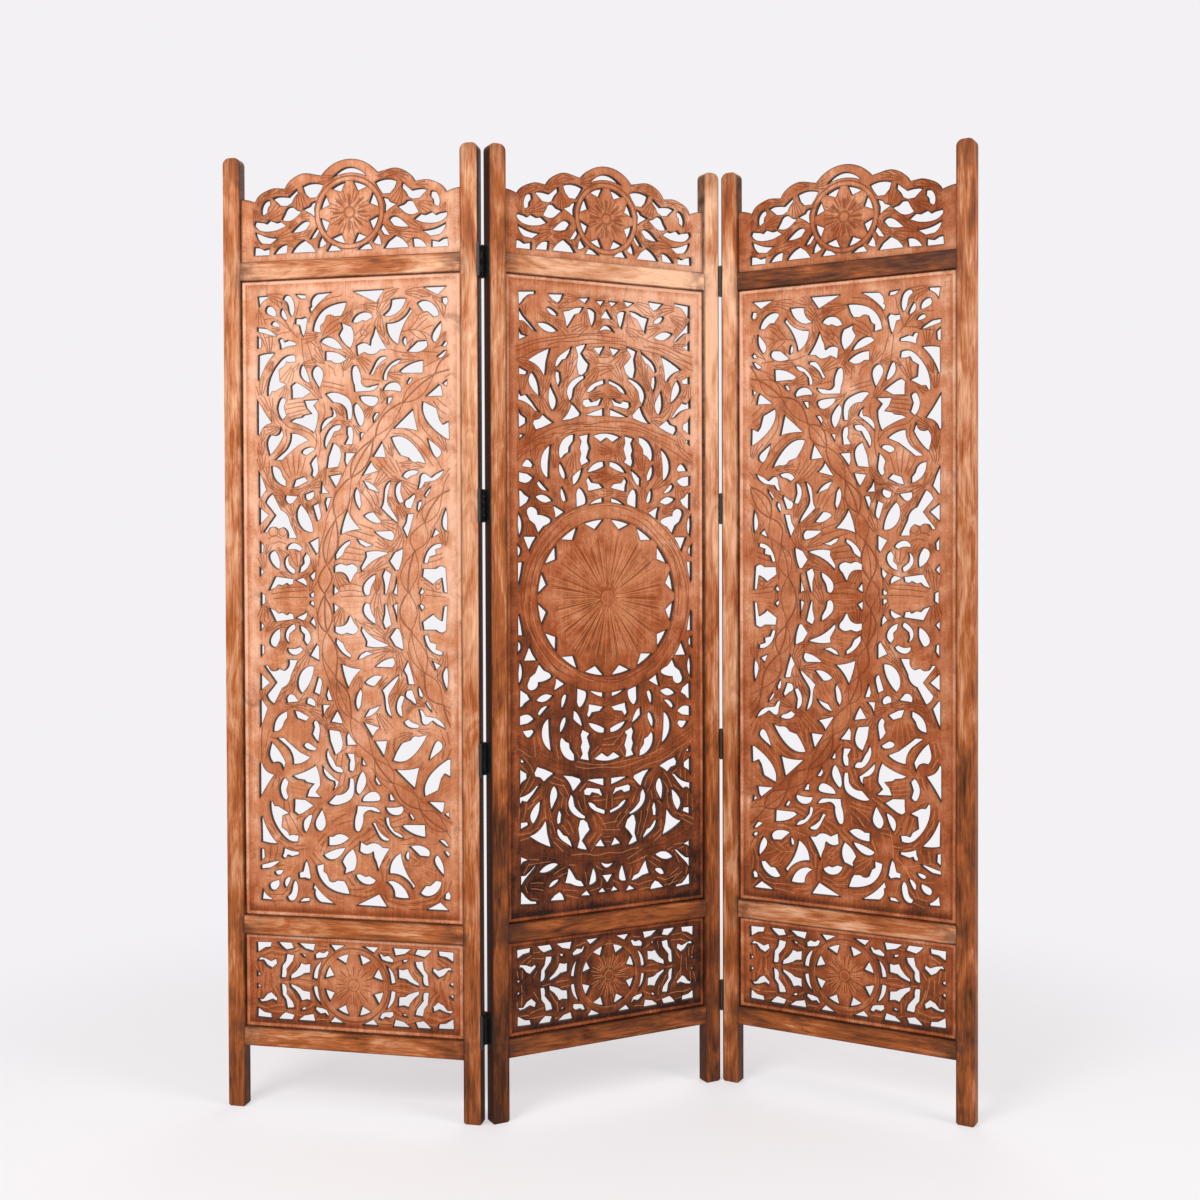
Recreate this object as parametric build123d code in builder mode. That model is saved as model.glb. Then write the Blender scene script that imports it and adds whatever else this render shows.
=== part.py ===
"""Three-leaf folding room screen: wooden frames, carved and pierced panels, two-way hinges.

Row frame: +Z up, +X to the right, +Y away from the front. The origin is on the floor, in the
middle of the ground that the standing screen covers. Each leaf has a frame of its own: x along
the leaf from its middle, y from its mid-plane towards the back, z up from the floor.
"""
from build123d import *
import os

# ---------------------------------------------------------------- leaves
leaf_width = 508.0
leaf_height = 1829.0
leaf_thickness = 25.0
stile_width = 35.0
stile_top_round = 13.0
foot_chamfer = 3.5
edge_round = 1.5

# ---------------------------------------------------------------- rails and openings
rail_height = 36.0
leg_height = 120.0
lower_opening = 180.0
stile_above_rails = 201.0
tenon_length = 18.0
tenon_thickness = 9.0
joint_fit = 0.15

# ---------------------------------------------------------------- panels
panel_thickness = 9.0
groove_depth = 6.0
panel_play = 0.2
lip_width = 8.0
lip_rise = 2.0
lip_gap = 1.0
crest_rise = 187.0
crest_shoulder = 122.0

# ---------------------------------------------------------------- hinges
hinge_heights = [175.0, 683.0, 1157.0, 1613.0]
hinge_length = 60.0
plate_thickness = 1.0
link_thickness = 1.2
plate_gap = 0.4
plate_recess = 1.0
recess_play = 0.2
plate_inset = 0.5
knuckle_radius = 3.0
knuckle_gap = 0.4
pin_radius = 1.4
pin_fit = 0.08
pin_head_radius = 2.4
pin_head_height = 1.2
screw_spacing = 20.0
screw_radius = 1.5
screw_head_radius = 3.0
screw_length = 14.0
screw_fit = 0.1

# ---------------------------------------------------------------- how the leaves stand
centre_turn = 28.5
left_fold = 40.0
right_fold = 58.0

# ---------------------------------------------------------------- sizes that follow
clear_width = leaf_width - 2 * stile_width
rail_1 = leg_height
opening_1 = rail_1 + rail_height
rail_2 = opening_1 + lower_opening
opening_2 = rail_2 + rail_height
rail_3 = leaf_height - stile_above_rails - rail_height
crest_base = rail_3 + rail_height
main_opening = rail_3 - opening_2
lower_middle = opening_1 + lower_opening / 2
main_middle = opening_2 + main_opening / 2
tongue = groove_depth - panel_play
leaf_gap = 2 * (plate_thickness - plate_recess) + link_thickness + 2 * plate_gap
half_gap = leaf_gap / 2
half_leaf = leaf_width / 2
pin_stand = leaf_thickness / 2 + knuckle_radius
plate_width = leaf_thickness - 2 * plate_inset
knuckle_pitch = hinge_length / 5
link_reach = pin_stand - knuckle_radius - knuckle_gap

# ---------------------------------------------------------------- the carver's drawings
# The pierced openings are drawn in millimetres on one leaf, x from the leaf's left edge and z
# from the floor. An outline is a list of runs. A run starts at a corner and names the points
# that its curve passes on the way to the next run's corner.
drawn_clear_width = 438.0
drawn_main_opening = 1220.0
drawn_lower_opening = 180.0
drawn_crest_rise = 187.0

# Side leaves: rings round a centre outside the leaf. The upper half is drawn.
side_middle = (259, 976)
side_upper = [
    [[(72, 1556)], [(93, 1557)], [(93, 1553), (82, 1546)], [(75, 1535)]],
    [[(108, 1517), (96, 1521), (88, 1528), (92, 1537), (102, 1535), (109, 1525)]],
    [[(131, 1510), (124, 1513), (118, 1523), (121, 1531), (127, 1525)]],
    [[(124, 1549), (131, 1557), (140, 1553), (146, 1540), (147, 1528)],
     [(142, 1516), (135, 1527), (132, 1541)]],
    [[(149, 1558)], [(169, 1556)], [(171, 1549)], [(158, 1550)]],
    [[(192, 1557)], [(223, 1559), (201, 1544)], [(180, 1521)], [(177, 1531)],
     [(181, 1534), (181, 1545)]],
    [[(184, 1487), (189, 1507), (203, 1525), (226, 1536)], [(252, 1539)], [(247, 1524)],
     [(241, 1514)], [(227, 1513), (219, 1517)], [(211, 1515)], [(206, 1502)], [(199, 1497)],
     [(200, 1483)]],
    [[(241, 1500), (253, 1495)], [(261, 1492), (266, 1472)], [(259, 1452), (247, 1461)],
     [(236, 1478)], [(243, 1490)]],
    [[(148, 1502)], [(149, 1512)], [(159, 1511)], [(169, 1514)], [(173, 1509)], [(170, 1492)],
     [(165, 1476)], [(160, 1484)], [(156, 1500)]],
    [[(117, 1498), (108, 1498)], [(99, 1502), (104, 1508), (112, 1505)]],
    [[(71, 1497)], [(88, 1495), (100, 1488)], [(110, 1480)], [(98, 1482), (85, 1486)],
     [(71, 1490)]],
    [[(71, 1481)], [(79, 1474)], [(78, 1459)], [(71, 1457)]],
    [[(114, 1472), (119, 1475)], [(125, 1468)], [(133, 1471)], [(149, 1466)],
     [(149, 1461), (136, 1460)], [(118, 1454)], [(117, 1464)]],
    [[(73, 1444), (88, 1447)], [(106, 1447), (88, 1425)], [(75, 1395)], [(72, 1398)]],
    [[(91, 1366), (96, 1401), (112, 1427), (132, 1442)], [(147, 1441)], [(149, 1430)],
     [(137, 1429)], [(130, 1431)], [(126, 1423)], [(114, 1415)], [(116, 1392)], [(129, 1387)],
     [(108, 1375)], [(100, 1375)], [(95, 1366)]],
    [[(176, 1389), (163, 1396), (157, 1410), (162, 1423), (170, 1412)]],
    [[(196, 1377), (187, 1392), (182, 1411), (190, 1420), (202, 1412), (203, 1395)]],
    [[(209, 1447), (228, 1445)], [(251, 1431)], [(243, 1426), (228, 1425)], [(219, 1430)],
     [(209, 1430)]],
    [[(199, 1466), (211, 1474), (228, 1469)], [(243, 1450)], [(231, 1452), (214, 1458)]],
    [[(266, 1559)], [(327, 1560)], [(311, 1536)], [(290, 1547)]],
    [[(263, 1501), (272, 1514), (286, 1519), (298, 1516)], [(304, 1509)], [(291, 1502)],
     [(284, 1504)], [(273, 1499)]],
    [[(341, 1540), (354, 1542)], [(370, 1541), (355, 1517)], [(336, 1509)],
     [(325, 1512), (337, 1523)]],
    [[(331, 1496), (346, 1497), (362, 1504)], [(378, 1523)], [(382, 1517), (366, 1494)],
     [(354, 1456), (335, 1475)]],
    [[(392, 1531), (403, 1536), (422, 1529)], [(434, 1507)], [(424, 1505)], [(412, 1516)],
     [(403, 1516)]],
    [[(405, 1561)], [(449, 1561)], [(432, 1546)]],
    [[(440, 1540)], [(450, 1541)], [(452, 1532)], [(448, 1525)], [(441, 1531)]],
    [[(438, 1496), (438, 1478)], [(427, 1457), (420, 1466), (426, 1482)]],
    [[(367, 1469), (371, 1460), (369, 1452), (365, 1456), (363, 1463)]],
    [[(372, 1443), (383, 1453)], [(391, 1460)], [(408, 1461), (411, 1451), (402, 1443),
     (390, 1440)]],
    [[(439, 1450)], [(446, 1459)], [(451, 1455)], [(447, 1449)]],
    [[(430, 1430)], [(444, 1441)], [(449, 1441)], [(446, 1436), (436, 1428)]],
    [[(309, 1492), (318, 1470)], [(332, 1448)], [(318, 1447), (308, 1440)], [(287, 1444)],
     [(273, 1437)], [(271, 1456), (284, 1461)], [(298, 1455)], [(300, 1467)], [(304, 1475)]],
    [[(331, 1433), (315, 1431), (306, 1418)], [(297, 1402)], [(304, 1400)],
     [(310, 1413), (318, 1422)], [(331, 1430)]],
    [[(360, 1428), (343, 1423), (330, 1411), (324, 1397)], [(324, 1390)], [(331, 1389)],
     [(333, 1404)], [(343, 1416), (353, 1420)]],
    [[(357, 1406), (378, 1419)], [(403, 1424)], [(402, 1401)], [(362, 1402)]],
    [[(267, 1369)], [(296, 1370), (309, 1374)], [(315, 1382)], [(300, 1379), (287, 1378)],
     [(280, 1386), (278, 1405)], [(272, 1417), (265, 1418), (261, 1408)], [(265, 1385)]],
    [[(147, 1390)], [(156, 1387), (168, 1379)], [(179, 1371)], [(163, 1361)], [(140, 1360)],
     [(140, 1373)], [(139, 1384)]],
    [[(209, 1366), (218, 1369), (240, 1365), (257, 1354), (262, 1336)], [(260, 1317)],
     [(252, 1317)], [(250, 1335), (240, 1347)], [(224, 1350)]],
    [[(121, 1319), (112, 1333), (112, 1350), (120, 1362)], [(128, 1357)], [(124, 1343)],
     [(129, 1327)]],
    [[(70, 1359)], [(85, 1334)], [(99, 1314), (83, 1307)], [(74, 1290)], [(70, 1293)]],
    [[(165, 1355)], [(195, 1356)], [(184, 1345)], [(193, 1332), (192, 1315)], [(184, 1293)],
     [(179, 1298), (160, 1308)], [(137, 1316)], [(146, 1321)], [(160, 1323)], [(164, 1327)],
     [(180, 1330)], [(170, 1341)]],
    [[(219, 1341)], [(228, 1333)], [(231, 1324), (212, 1309)], [(198, 1294)],
     [(199, 1306), (209, 1319)], [(221, 1323)], [(223, 1331)]],
    [[(240, 1306), (222, 1304), (209, 1288), (206, 1268)], [(209, 1262)], [(214, 1274)],
     [(219, 1281)], [(226, 1295), (238, 1300)]],
    [[(251, 1302), (256, 1304)], [(264, 1288)], [(262, 1270)], [(246, 1270)], [(253, 1283)],
     [(251, 1290)]],
    [[(118, 1306)], [(123, 1290), (110, 1268)], [(94, 1251)], [(90, 1266), (91, 1284)],
     [(96, 1291), (109, 1290)]],
    [[(138, 1293), (155, 1290)], [(173, 1279)], [(153, 1270), (139, 1259)], [(130, 1252)],
     [(120, 1243)], [(105, 1243)], [(126, 1260), (136, 1277)]],
    [[(186, 1261)], [(170, 1251), (160, 1258), (168, 1264)]],
    [[(190, 1251)], [(193, 1230), (190, 1213)], [(184, 1207)], [(179, 1213)], [(181, 1222)],
     [(177, 1235)], [(182, 1243)]],
    [[(223, 1273), (232, 1268)], [(233, 1228)], [(210, 1225)], [(213, 1247)]],
    [[(98, 1231), (113, 1226)], [(120, 1212)], [(127, 1203)], [(127, 1192), (107, 1203)]],
    [[(72, 1223)], [(80, 1205)], [(87, 1186)], [(75, 1170)], [(72, 1172)]],
    [[(141, 1190)], [(146, 1204)], [(164, 1210)], [(172, 1202)], [(153, 1192)]],
    [[(215, 1210)], [(240, 1214), (235, 1200)], [(228, 1188)]],
    [[(247, 1254)], [(268, 1253), (257, 1239)], [(250, 1228)], [(246, 1238)]],
    [[(200, 1201)], [(206, 1187)], [(214, 1178)], [(198, 1178)]],
    [[(324, 1370), (334, 1383), (350, 1384)], [(360, 1372)], [(358, 1367), (342, 1370)]],
    [[(371, 1384)], [(376, 1392)], [(382, 1391)], [(378, 1384), (372, 1381)]],
    [[(441, 1380)], [(450, 1387)], [(449, 1375)]],
    [[(408, 1357)], [(434, 1378)], [(438, 1373)], [(441, 1357)]],
    [[(277, 1360), (300, 1360), (314, 1354), (308, 1343), (293, 1343)]],
    [[(332, 1357)], [(343, 1357)], [(336, 1345)], [(331, 1345)]],
    [[(272, 1347), (282, 1334), (286, 1318), (279, 1304), (270, 1315)]],
    [[(308, 1328)], [(316, 1328)], [(309, 1318)], [(305, 1309)], [(303, 1320)]],
    [[(277, 1289)], [(280, 1292)], [(286, 1291)], [(282, 1284)], [(278, 1276)]],
    [[(344, 1298), (362, 1315)], [(382, 1333)], [(391, 1293), (368, 1298)]],
    [[(402, 1347)], [(428, 1334)], [(434, 1312)], [(440, 1303)], [(452, 1309)], [(453, 1276)],
     [(447, 1277), (418, 1300), (401, 1330)]],
    [[(339, 1281), (356, 1283), (384, 1266)], [(407, 1231)], [(392, 1235), (379, 1236)],
     [(373, 1243)], [(357, 1248), (350, 1258)]],
    [[(411, 1278), (426, 1266), (437, 1249), (430, 1242), (418, 1255)]],
    [[(303, 1246)], [(321, 1274), (325, 1260)], [(328, 1244)]],
    [[(281, 1210)], [(299, 1238), (304, 1228)], [(313, 1219)]],
    [[(361, 1208), (368, 1216), (382, 1219)], [(393, 1216)], [(388, 1211), (378, 1208)],
     [(370, 1202)]],
    [[(443, 1219)], [(426, 1211)], [(417, 1204)], [(408, 1211), (401, 1212)], [(395, 1198)],
     [(391, 1183)], [(399, 1186)], [(405, 1196)], [(424, 1199), (436, 1207)]],
    [[(283, 1200), (300, 1194)], [(315, 1177)], [(306, 1181)], [(292, 1186)]],
    [[(338, 1200), (325, 1182), (323, 1162)], [(318, 1149), (331, 1136)],
     [(352, 1119), (340, 1143), (331, 1160), (333, 1180)]],
    [[(359, 1199), (348, 1190), (347, 1172)], [(355, 1157)], [(363, 1160)], [(357, 1178)]],
    [[(384, 1175)], [(386, 1169)], [(378, 1147)], [(367, 1149), (365, 1160)], [(372, 1165)]],
    [[(417, 1188)], [(416, 1181)], [(407, 1167)], [(404, 1171)], [(408, 1178)]],
    [[(398, 1162)], [(399, 1155)], [(392, 1141)], [(389, 1145)], [(391, 1158)]],
    [[(276, 1145), (268, 1158), (265, 1175)], [(270, 1188)], [(276, 1178)], [(279, 1156)]],
    [[(284, 1134), (292, 1139)], [(304, 1140)], [(319, 1122), (305, 1121), (292, 1127)]],
    [[(305, 1104)], [(338, 1105), (344, 1097)], [(341, 1087), (327, 1090)]],
    [[(270, 1090)], [(282, 1087), (291, 1082)], [(302, 1079)], [(287, 1075)], [(275, 1082)]],
    [[(287, 1065), (300, 1067)], [(333, 1063)], [(311, 1054), (294, 1043)], [(279, 1028)],
     [(277, 1036)], [(288, 1056)]],
    [[(361, 1072)], [(344, 1064)], [(334, 1048)], [(346, 1031)], [(353, 1032), (359, 1050)]],
    [[(370, 1136)], [(383, 1137)], [(377, 1113)], [(370, 1091)], [(361, 1110)], [(367, 1120)]],
    [[(446, 1147), (449, 1125)], [(447, 1103), (438, 1117), (441, 1135)]],
    [[(425, 1109)], [(434, 1100)], [(418, 1092)]],
    [[(437, 1080), (415, 1073), (406, 1060)], [(402, 1045)], [(409, 1043)], [(414, 1057)],
     [(426, 1060)], [(425, 1070)], [(437, 1074)]],
    [[(401, 1033)], [(425, 1033), (434, 1038)], [(445, 1034)], [(448, 988)], [(441, 990)],
     [(437, 1017)], [(427, 1011)], [(420, 1004)], [(399, 1019)]],
    [[(398, 998)], [(403, 990)], [(396, 984)], [(393, 988)]],
    [[(307, 1023), (289, 1012), (281, 995), (286, 984)], [(295, 986)], [(298, 1000)],
     [(306, 1014)]],
    [[(325, 1032)], [(338, 1024), (333, 1003)], [(328, 985)], [(324, 986)], [(324, 1003)],
     [(320, 1020)]],
    [[(349, 1019)], [(350, 983)], [(341, 988), (346, 1003)]],
    [[(100, 1178), (92, 1173)], [(85, 1161)], [(105, 1137)], [(81, 1105)], [(88, 1104)],
     [(93, 1113), (102, 1115)], [(110, 1110)], [(121, 1114), (129, 1106)], [(130, 1093)],
     [(149, 1093)], [(135, 1122), (127, 1140)], [(117, 1146)], [(107, 1165)]],
    [[(126, 1175)], [(151, 1172)], [(142, 1161), (132, 1159)], [(125, 1167)]],
    [[(166, 1176), (174, 1179)], [(182, 1182), (183, 1171), (172, 1165)]],
    [[(73, 1152)], [(92, 1137)], [(73, 1119)]],
    [[(157, 1157), (169, 1143), (180, 1119)], [(182, 1105), (161, 1110), (150, 1127),
     (150, 1147)]],
    [[(181, 1154)], [(193, 1160)], [(197, 1143), (193, 1126)], [(190, 1125)]],
    [[(209, 1169)], [(219, 1169)], [(214, 1155)], [(210, 1143)], [(206, 1160)]],
    [[(237, 1099), (242, 1122)], [(251, 1146), (260, 1128)], [(277, 1109), (256, 1106)]],
    [[(256, 1088), (238, 1077)], [(226, 1060)], [(227, 1050)], [(241, 1060)],
     [(247, 1073)], [(257, 1082)]],
    [[(224, 1038), (236, 1043)], [(247, 1040)], [(259, 1043), (271, 1035)],
     [(264, 1022)], [(257, 1008)], [(253, 1009), (240, 1027)], [(224, 1027)]],
    [[(223, 1004)], [(233, 991)], [(222, 984)]],
    [[(128, 1074), (140, 1083), (154, 1079)], [(160, 1072)], [(153, 1067), (141, 1072)],
     [(129, 1070)]],
    [[(174, 1084)], [(193, 1094)], [(193, 1068)], [(188, 1061)]],
    [[(104, 1069), (92, 1060), (96, 1046)], [(113, 1033), (112, 1056)]],
    [[(133, 1061), (123, 1048), (128, 1033), (143, 1025)], [(145, 1032)], [(133, 1042)],
     [(131, 1052)]],
    [[(167, 1064), (176, 1050), (167, 1033)], [(153, 1027)], [(155, 1037)], [(162, 1044)],
     [(161, 1055)]],
    [[(74, 1088)], [(81, 1078)], [(80, 1066)], [(74, 1064)]],
    [[(73, 1038)], [(81, 1028)], [(73, 1019)]],
    [[(104, 1019)], [(142, 1014)], [(140, 1005)], [(131, 1003)], [(127, 1007)],
     [(118, 1002)], [(110, 1004)], [(104, 998)], [(91, 993)]],
    [[(146, 1012)], [(160, 1017), (167, 1011)], [(168, 1000)], [(159, 1006)]],
    [[(174, 1020)], [(186, 1032)], [(185, 1018)], [(181, 1010)]],
    [[(174, 985)], [(183, 991)], [(183, 981)], [(176, 980)]],
]
side_on_axis = [
    [[(75, 989)], [(83, 983)], [(83, 969)], [(75, 963)]],
]

# Centre leaf: rings round the panel's own middle. The upper left quarter is drawn.
centre_middle = (250, 990)
centre_quarter = [
    [[(60, 1568)], [(96, 1571)], [(95, 1566)], [(82, 1564)], [(73, 1556), (67, 1548)],
     [(61, 1543)]],
    [[(122, 1568)], [(156, 1570)], [(152, 1560)], [(144, 1552)], [(132, 1558)]],
    [[(188, 1565)], [(212, 1567)], [(203, 1555)]],
    [[(226, 1563)], [(246, 1564)], [(238, 1553)]],
    [[(120, 1541), (132, 1540), (143, 1529)], [(137, 1528), (125, 1533)]],
    [[(155, 1537)], [(170, 1540), (184, 1546)], [(199, 1548)], [(193, 1538)], [(182, 1534)],
     [(172, 1518)], [(163, 1506)], [(160, 1522)]],
    [[(207, 1546), (216, 1546)], [(226, 1540), (225, 1527)], [(217, 1511)], [(211, 1530)]],
    [[(61, 1538)], [(71, 1523), (86, 1508)], [(98, 1495)], [(90, 1497), (78, 1508)],
     [(70, 1514)], [(61, 1514)]],
    [[(61, 1499)], [(68, 1488)], [(78, 1486)], [(61, 1478)]],
    [[(100, 1510), (110, 1513), (127, 1510)], [(143, 1500)], [(132, 1496), (117, 1498)]],
    [[(80, 1440), (102, 1454)], [(127, 1465)], [(120, 1440)], [(117, 1414)], [(112, 1415),
     (99, 1431)]],
    [[(138, 1434), (146, 1451), (161, 1462)], [(174, 1472)], [(170, 1460)], [(163, 1449)],
     [(155, 1446)], [(147, 1436), (140, 1432)]],
    [[(182, 1471)], [(193, 1475)], [(206, 1478)], [(202, 1470)], [(195, 1460)],
     [(203, 1449)], [(212, 1440)], [(207, 1426)], [(197, 1418)], [(188, 1419)],
     [(184, 1435)], [(187, 1455)]],
    [[(220, 1472)], [(245, 1475)], [(240, 1467)], [(235, 1457)], [(228, 1464)]],
    [[(139, 1424)], [(148, 1421)], [(150, 1406)], [(145, 1393)], [(140, 1402)],
     [(138, 1413)]],
    [[(202, 1417), (182, 1411), (165, 1394)], [(163, 1380)], [(169, 1365)], [(176, 1375)],
     [(179, 1392), (192, 1406)], [(202, 1413)]],
    [[(206, 1386), (214, 1398), (228, 1406)], [(245, 1412)], [(246, 1405)],
     [(228, 1398), (213, 1387)]],
    [[(61, 1427)], [(79, 1419)], [(77, 1413)], [(61, 1413)]],
    [[(89, 1419), (81, 1402)], [(86, 1390), (97, 1378)], [(105, 1373)],
     [(103, 1392), (96, 1410)]],
    [[(127, 1398), (123, 1376), (125, 1359), (132, 1349), (141, 1361), (136, 1381)]],
    [[(60, 1383)], [(67, 1372)], [(77, 1375)], [(90, 1361), (99, 1349)], [(104, 1343)],
     [(94, 1346), (76, 1360)], [(59, 1365)]],
    [[(60, 1348)], [(66, 1337)], [(76, 1331)], [(76, 1322)], [(60, 1312)]],
    [[(92, 1327)], [(103, 1330)], [(112, 1340)], [(122, 1332)], [(133, 1325)],
     [(114, 1316)], [(96, 1310)], [(90, 1321)]],
    [[(173, 1364)], [(182, 1357)], [(193, 1345)], [(191, 1340)], [(172, 1333)],
     [(152, 1330), (164, 1343)]],
    [[(198, 1370)], [(213, 1373)], [(218, 1367)], [(228, 1370)], [(236, 1376)],
     [(240, 1375)], [(234, 1362)], [(203, 1357)], [(197, 1362)]],
    [[(204, 1342), (225, 1350)], [(243, 1356)], [(243, 1342)], [(222, 1341)]],
    [[(62, 1301)], [(71, 1299)], [(61, 1290)]],
    [[(128, 1282), (111, 1266), (106, 1246), (111, 1228)], [(123, 1218)], [(124, 1250)]],
    [[(179, 1303), (158, 1296), (150, 1287)], [(147, 1258)], [(153, 1258)], [(160, 1266)],
     [(168, 1270)], [(169, 1280)], [(178, 1292)]],
    [[(189, 1300)], [(211, 1305)], [(209, 1291)], [(213, 1279)], [(207, 1260)],
     [(212, 1253)], [(194, 1244)], [(190, 1254)], [(193, 1268)], [(190, 1277)],
     [(194, 1291)]],
    [[(66, 1240), (80, 1253)], [(91, 1243)], [(88, 1238)]],
    [[(60, 1229)], [(80, 1226)], [(91, 1219), (82, 1211)], [(60, 1212)]],
    [[(98, 1209)], [(103, 1214)], [(122, 1195)], [(113, 1195), (101, 1203)]],
    [[(147, 1250), (145, 1235)], [(151, 1221), (158, 1218)], [(160, 1228), (154, 1241)]],
    [[(196, 1240), (192, 1224)], [(184, 1211)], [(175, 1206)], [(174, 1222)],
     [(181, 1229)]],
    [[(207, 1232), (219, 1246)], [(244, 1253)], [(245, 1245), (228, 1237)]],
    [[(204, 1216)], [(210, 1224)], [(218, 1212)], [(235, 1210)], [(242, 1203)],
     [(224, 1199)], [(208, 1196)], [(207, 1207)]],
    [[(151, 1203), (148, 1190), (155, 1175)], [(162, 1177), (158, 1191)]],
    [[(183, 1164)], [(182, 1190), (191, 1201), (200, 1193)], [(203, 1171)]],
    [[(60, 1196)], [(68, 1193)], [(73, 1187)], [(83, 1181)], [(78, 1172)], [(61, 1161)]],
    [[(95, 1183), (112, 1187)], [(131, 1176)], [(118, 1172), (105, 1175)]],
    [[(210, 1169), (226, 1179)], [(241, 1183)], [(241, 1175), (226, 1173)]],
    [[(77, 1150), (80, 1162), (92, 1163)], [(101, 1149)], [(111, 1148), (129, 1138)],
     [(114, 1128)], [(101, 1113)], [(93, 1131)], [(82, 1139)]],
    [[(132, 1167)], [(140, 1164)], [(157, 1155)], [(137, 1142)], [(136, 1153)]],
    [[(58, 1153), (65, 1142), (67, 1124)], [(60, 1107)], [(57, 1130)]],
    [[(69, 1107)], [(97, 1107)], [(90, 1097)], [(81, 1079)], [(75, 1093)]],
    [[(56, 1094)], [(64, 1085), (62, 1073)], [(57, 1069)]],
    [[(57, 1058)], [(68, 1059)], [(65, 1040)], [(60, 1018)], [(57, 1022)]],
]
centre_on_axis = [
    [[(237, 1530)], [(250, 1548)], [(263, 1530)]],
    [[(233, 1504), (250, 1517)], [(267, 1504), (250, 1509)]],
    [[(220, 1302), (250, 1308)], [(280, 1302)], [(263, 1291)], [(250, 1300)], [(237, 1291)]],
]
centre_rosette = [16, 151.0, 134.0, 8.0]

# Lower panels: one rosette in a ring. The upper left quarter is drawn.
lower_drawn_middle = (258, 247)
lower_quarter = [
    [[(60, 320)], [(91, 321)], [(89, 311)], [(75, 309)], [(61, 300)]],
    [[(103, 322)], [(132, 322)], [(137, 311)], [(128, 309)], [(119, 307)], [(110, 314)]],
    [[(144, 322)], [(180, 322)], [(176, 307)], [(158, 311)]],
    [[(209, 322)], [(240, 322)], [(228, 315)], [(219, 310)]],
    [[(62, 284)], [(67, 291)], [(78, 289)], [(90, 284)], [(100, 289)], [(102, 281)],
     [(90, 270)], [(80, 275)], [(72, 285)]],
    [[(121, 300)], [(137, 298)], [(134, 287)], [(121, 271), (116, 253)], [(109, 253)],
     [(111, 275)], [(118, 284)]],
    [[(150, 284)], [(160, 281)], [(170, 283)], [(169, 265)], [(155, 263)], [(148, 258)],
     [(138, 254)], [(128, 251)], [(129, 258)], [(138, 265)], [(146, 275)]],
    [[(150, 302)], [(161, 300)], [(160, 295)], [(155, 296)]],
    [[(179, 300)], [(188, 307)], [(198, 305)], [(203, 310)], [(208, 308)], [(203, 298)],
     [(195, 295)], [(180, 293)]],
    [[(193, 289), (180, 275)], [(175, 255)], [(184, 253)], [(187, 272)]],
    [[(61, 264)], [(68, 258)], [(61, 254)]],
]
lower_rosette = [8, 59.5, 42.0, 12.5]

# Crests: a rosette and scrolls under a scalloped edge. The left half is drawn.
crest_drawn_middle = (257, 1628)
crest_half = [
    [[(163, 1768), (182, 1773)], [(205, 1768)], [(199, 1757)], [(191, 1746)], [(176, 1746)],
     [(167, 1756)]],
    [[(164, 1725)], [(177, 1730)], [(181, 1736)], [(190, 1739)], [(186, 1726)],
     [(187, 1709)], [(178, 1717)]],
    [[(103, 1748)], [(111, 1751), (122, 1751)], [(134, 1749)], [(152, 1764)], [(153, 1756)],
     [(146, 1748)], [(141, 1738)], [(131, 1733)], [(118, 1734)], [(111, 1741)]],
    [[(82, 1716), (80, 1733), (90, 1745)], [(96, 1745)], [(97, 1737)], [(92, 1731)],
     [(91, 1722)]],
    [[(120, 1708)], [(127, 1720), (135, 1730)], [(143, 1730)], [(150, 1724)], [(161, 1721)],
     [(150, 1711), (134, 1704)]],
    [[(64, 1700)], [(66, 1706)], [(80, 1704)], [(88, 1701)], [(95, 1707)], [(108, 1702)],
     [(117, 1704)], [(129, 1695)], [(112, 1688), (92, 1686), (74, 1690)]],
    [[(140, 1682), (154, 1695), (172, 1702)], [(178, 1697)], [(170, 1686), (155, 1682)]],
    [[(67, 1685)], [(80, 1679), (97, 1674)], [(112, 1673)], [(97, 1662)], [(80, 1664),
     (71, 1673)]],
    [[(63, 1641)], [(64, 1657)], [(73, 1656)], [(82, 1651)], [(95, 1654)], [(95, 1641)]],
    [[(104, 1642), (113, 1653), (124, 1659)], [(132, 1659)], [(130, 1643)]],
    [[(140, 1643), (151, 1657)], [(166, 1666)], [(180, 1656)], [(189, 1643)]],
    [[(177, 1667)], [(184, 1678)], [(192, 1689)], [(196, 1681)], [(189, 1670)]],
    [[(194, 1650)], [(196, 1662)], [(201, 1672)], [(205, 1665)], [(211, 1657)],
     [(203, 1652)]],
    [[(211, 1643)], [(219, 1655)], [(229, 1652)], [(241, 1643)]],
]
crest_on_axis = [
    [[(224, 1782), (257, 1799)], [(290, 1782), (257, 1789)]],
]
crest_rosette = [8, 58.0, 43.0, 14.0]
crest_rosette_centre = (257, 1714)

# The crest's scalloped top edge, from the stile to the middle: x from the middle, z from the
# top rail.
crest_scallops = [
    [(-191, 115), (-182, 128), (-167, 136), (-152, 140), (-139, 139)],
    [(-130, 138), (-124, 148), (-110, 159), (-92, 165), (-75, 163)],
    [(-56, 159), (0, 187)],
    [(56, 159), (75, 163), (92, 165), (110, 159), (124, 148)],
    [(130, 138), (139, 139), (152, 140), (167, 136), (182, 128)],
]


# ---------------------------------------------------------------- drawing the pierced work
def outline_face(runs, middle, scale_x, scale_z):
    """One pierced opening, drawn about middle and scaled with its panel."""
    with BuildSketch() as opening:
        with BuildLine():
            for number, run in enumerate(runs):
                corner = runs[(number + 1) % len(runs)][0]
                points = [((x - middle[0]) * scale_x, (z - middle[1]) * scale_z)
                          for x, z in run + [corner]]
                if len(points) == 2:
                    Line(points)
                else:
                    Spline(points)
        make_face()
    return opening.face()


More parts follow.
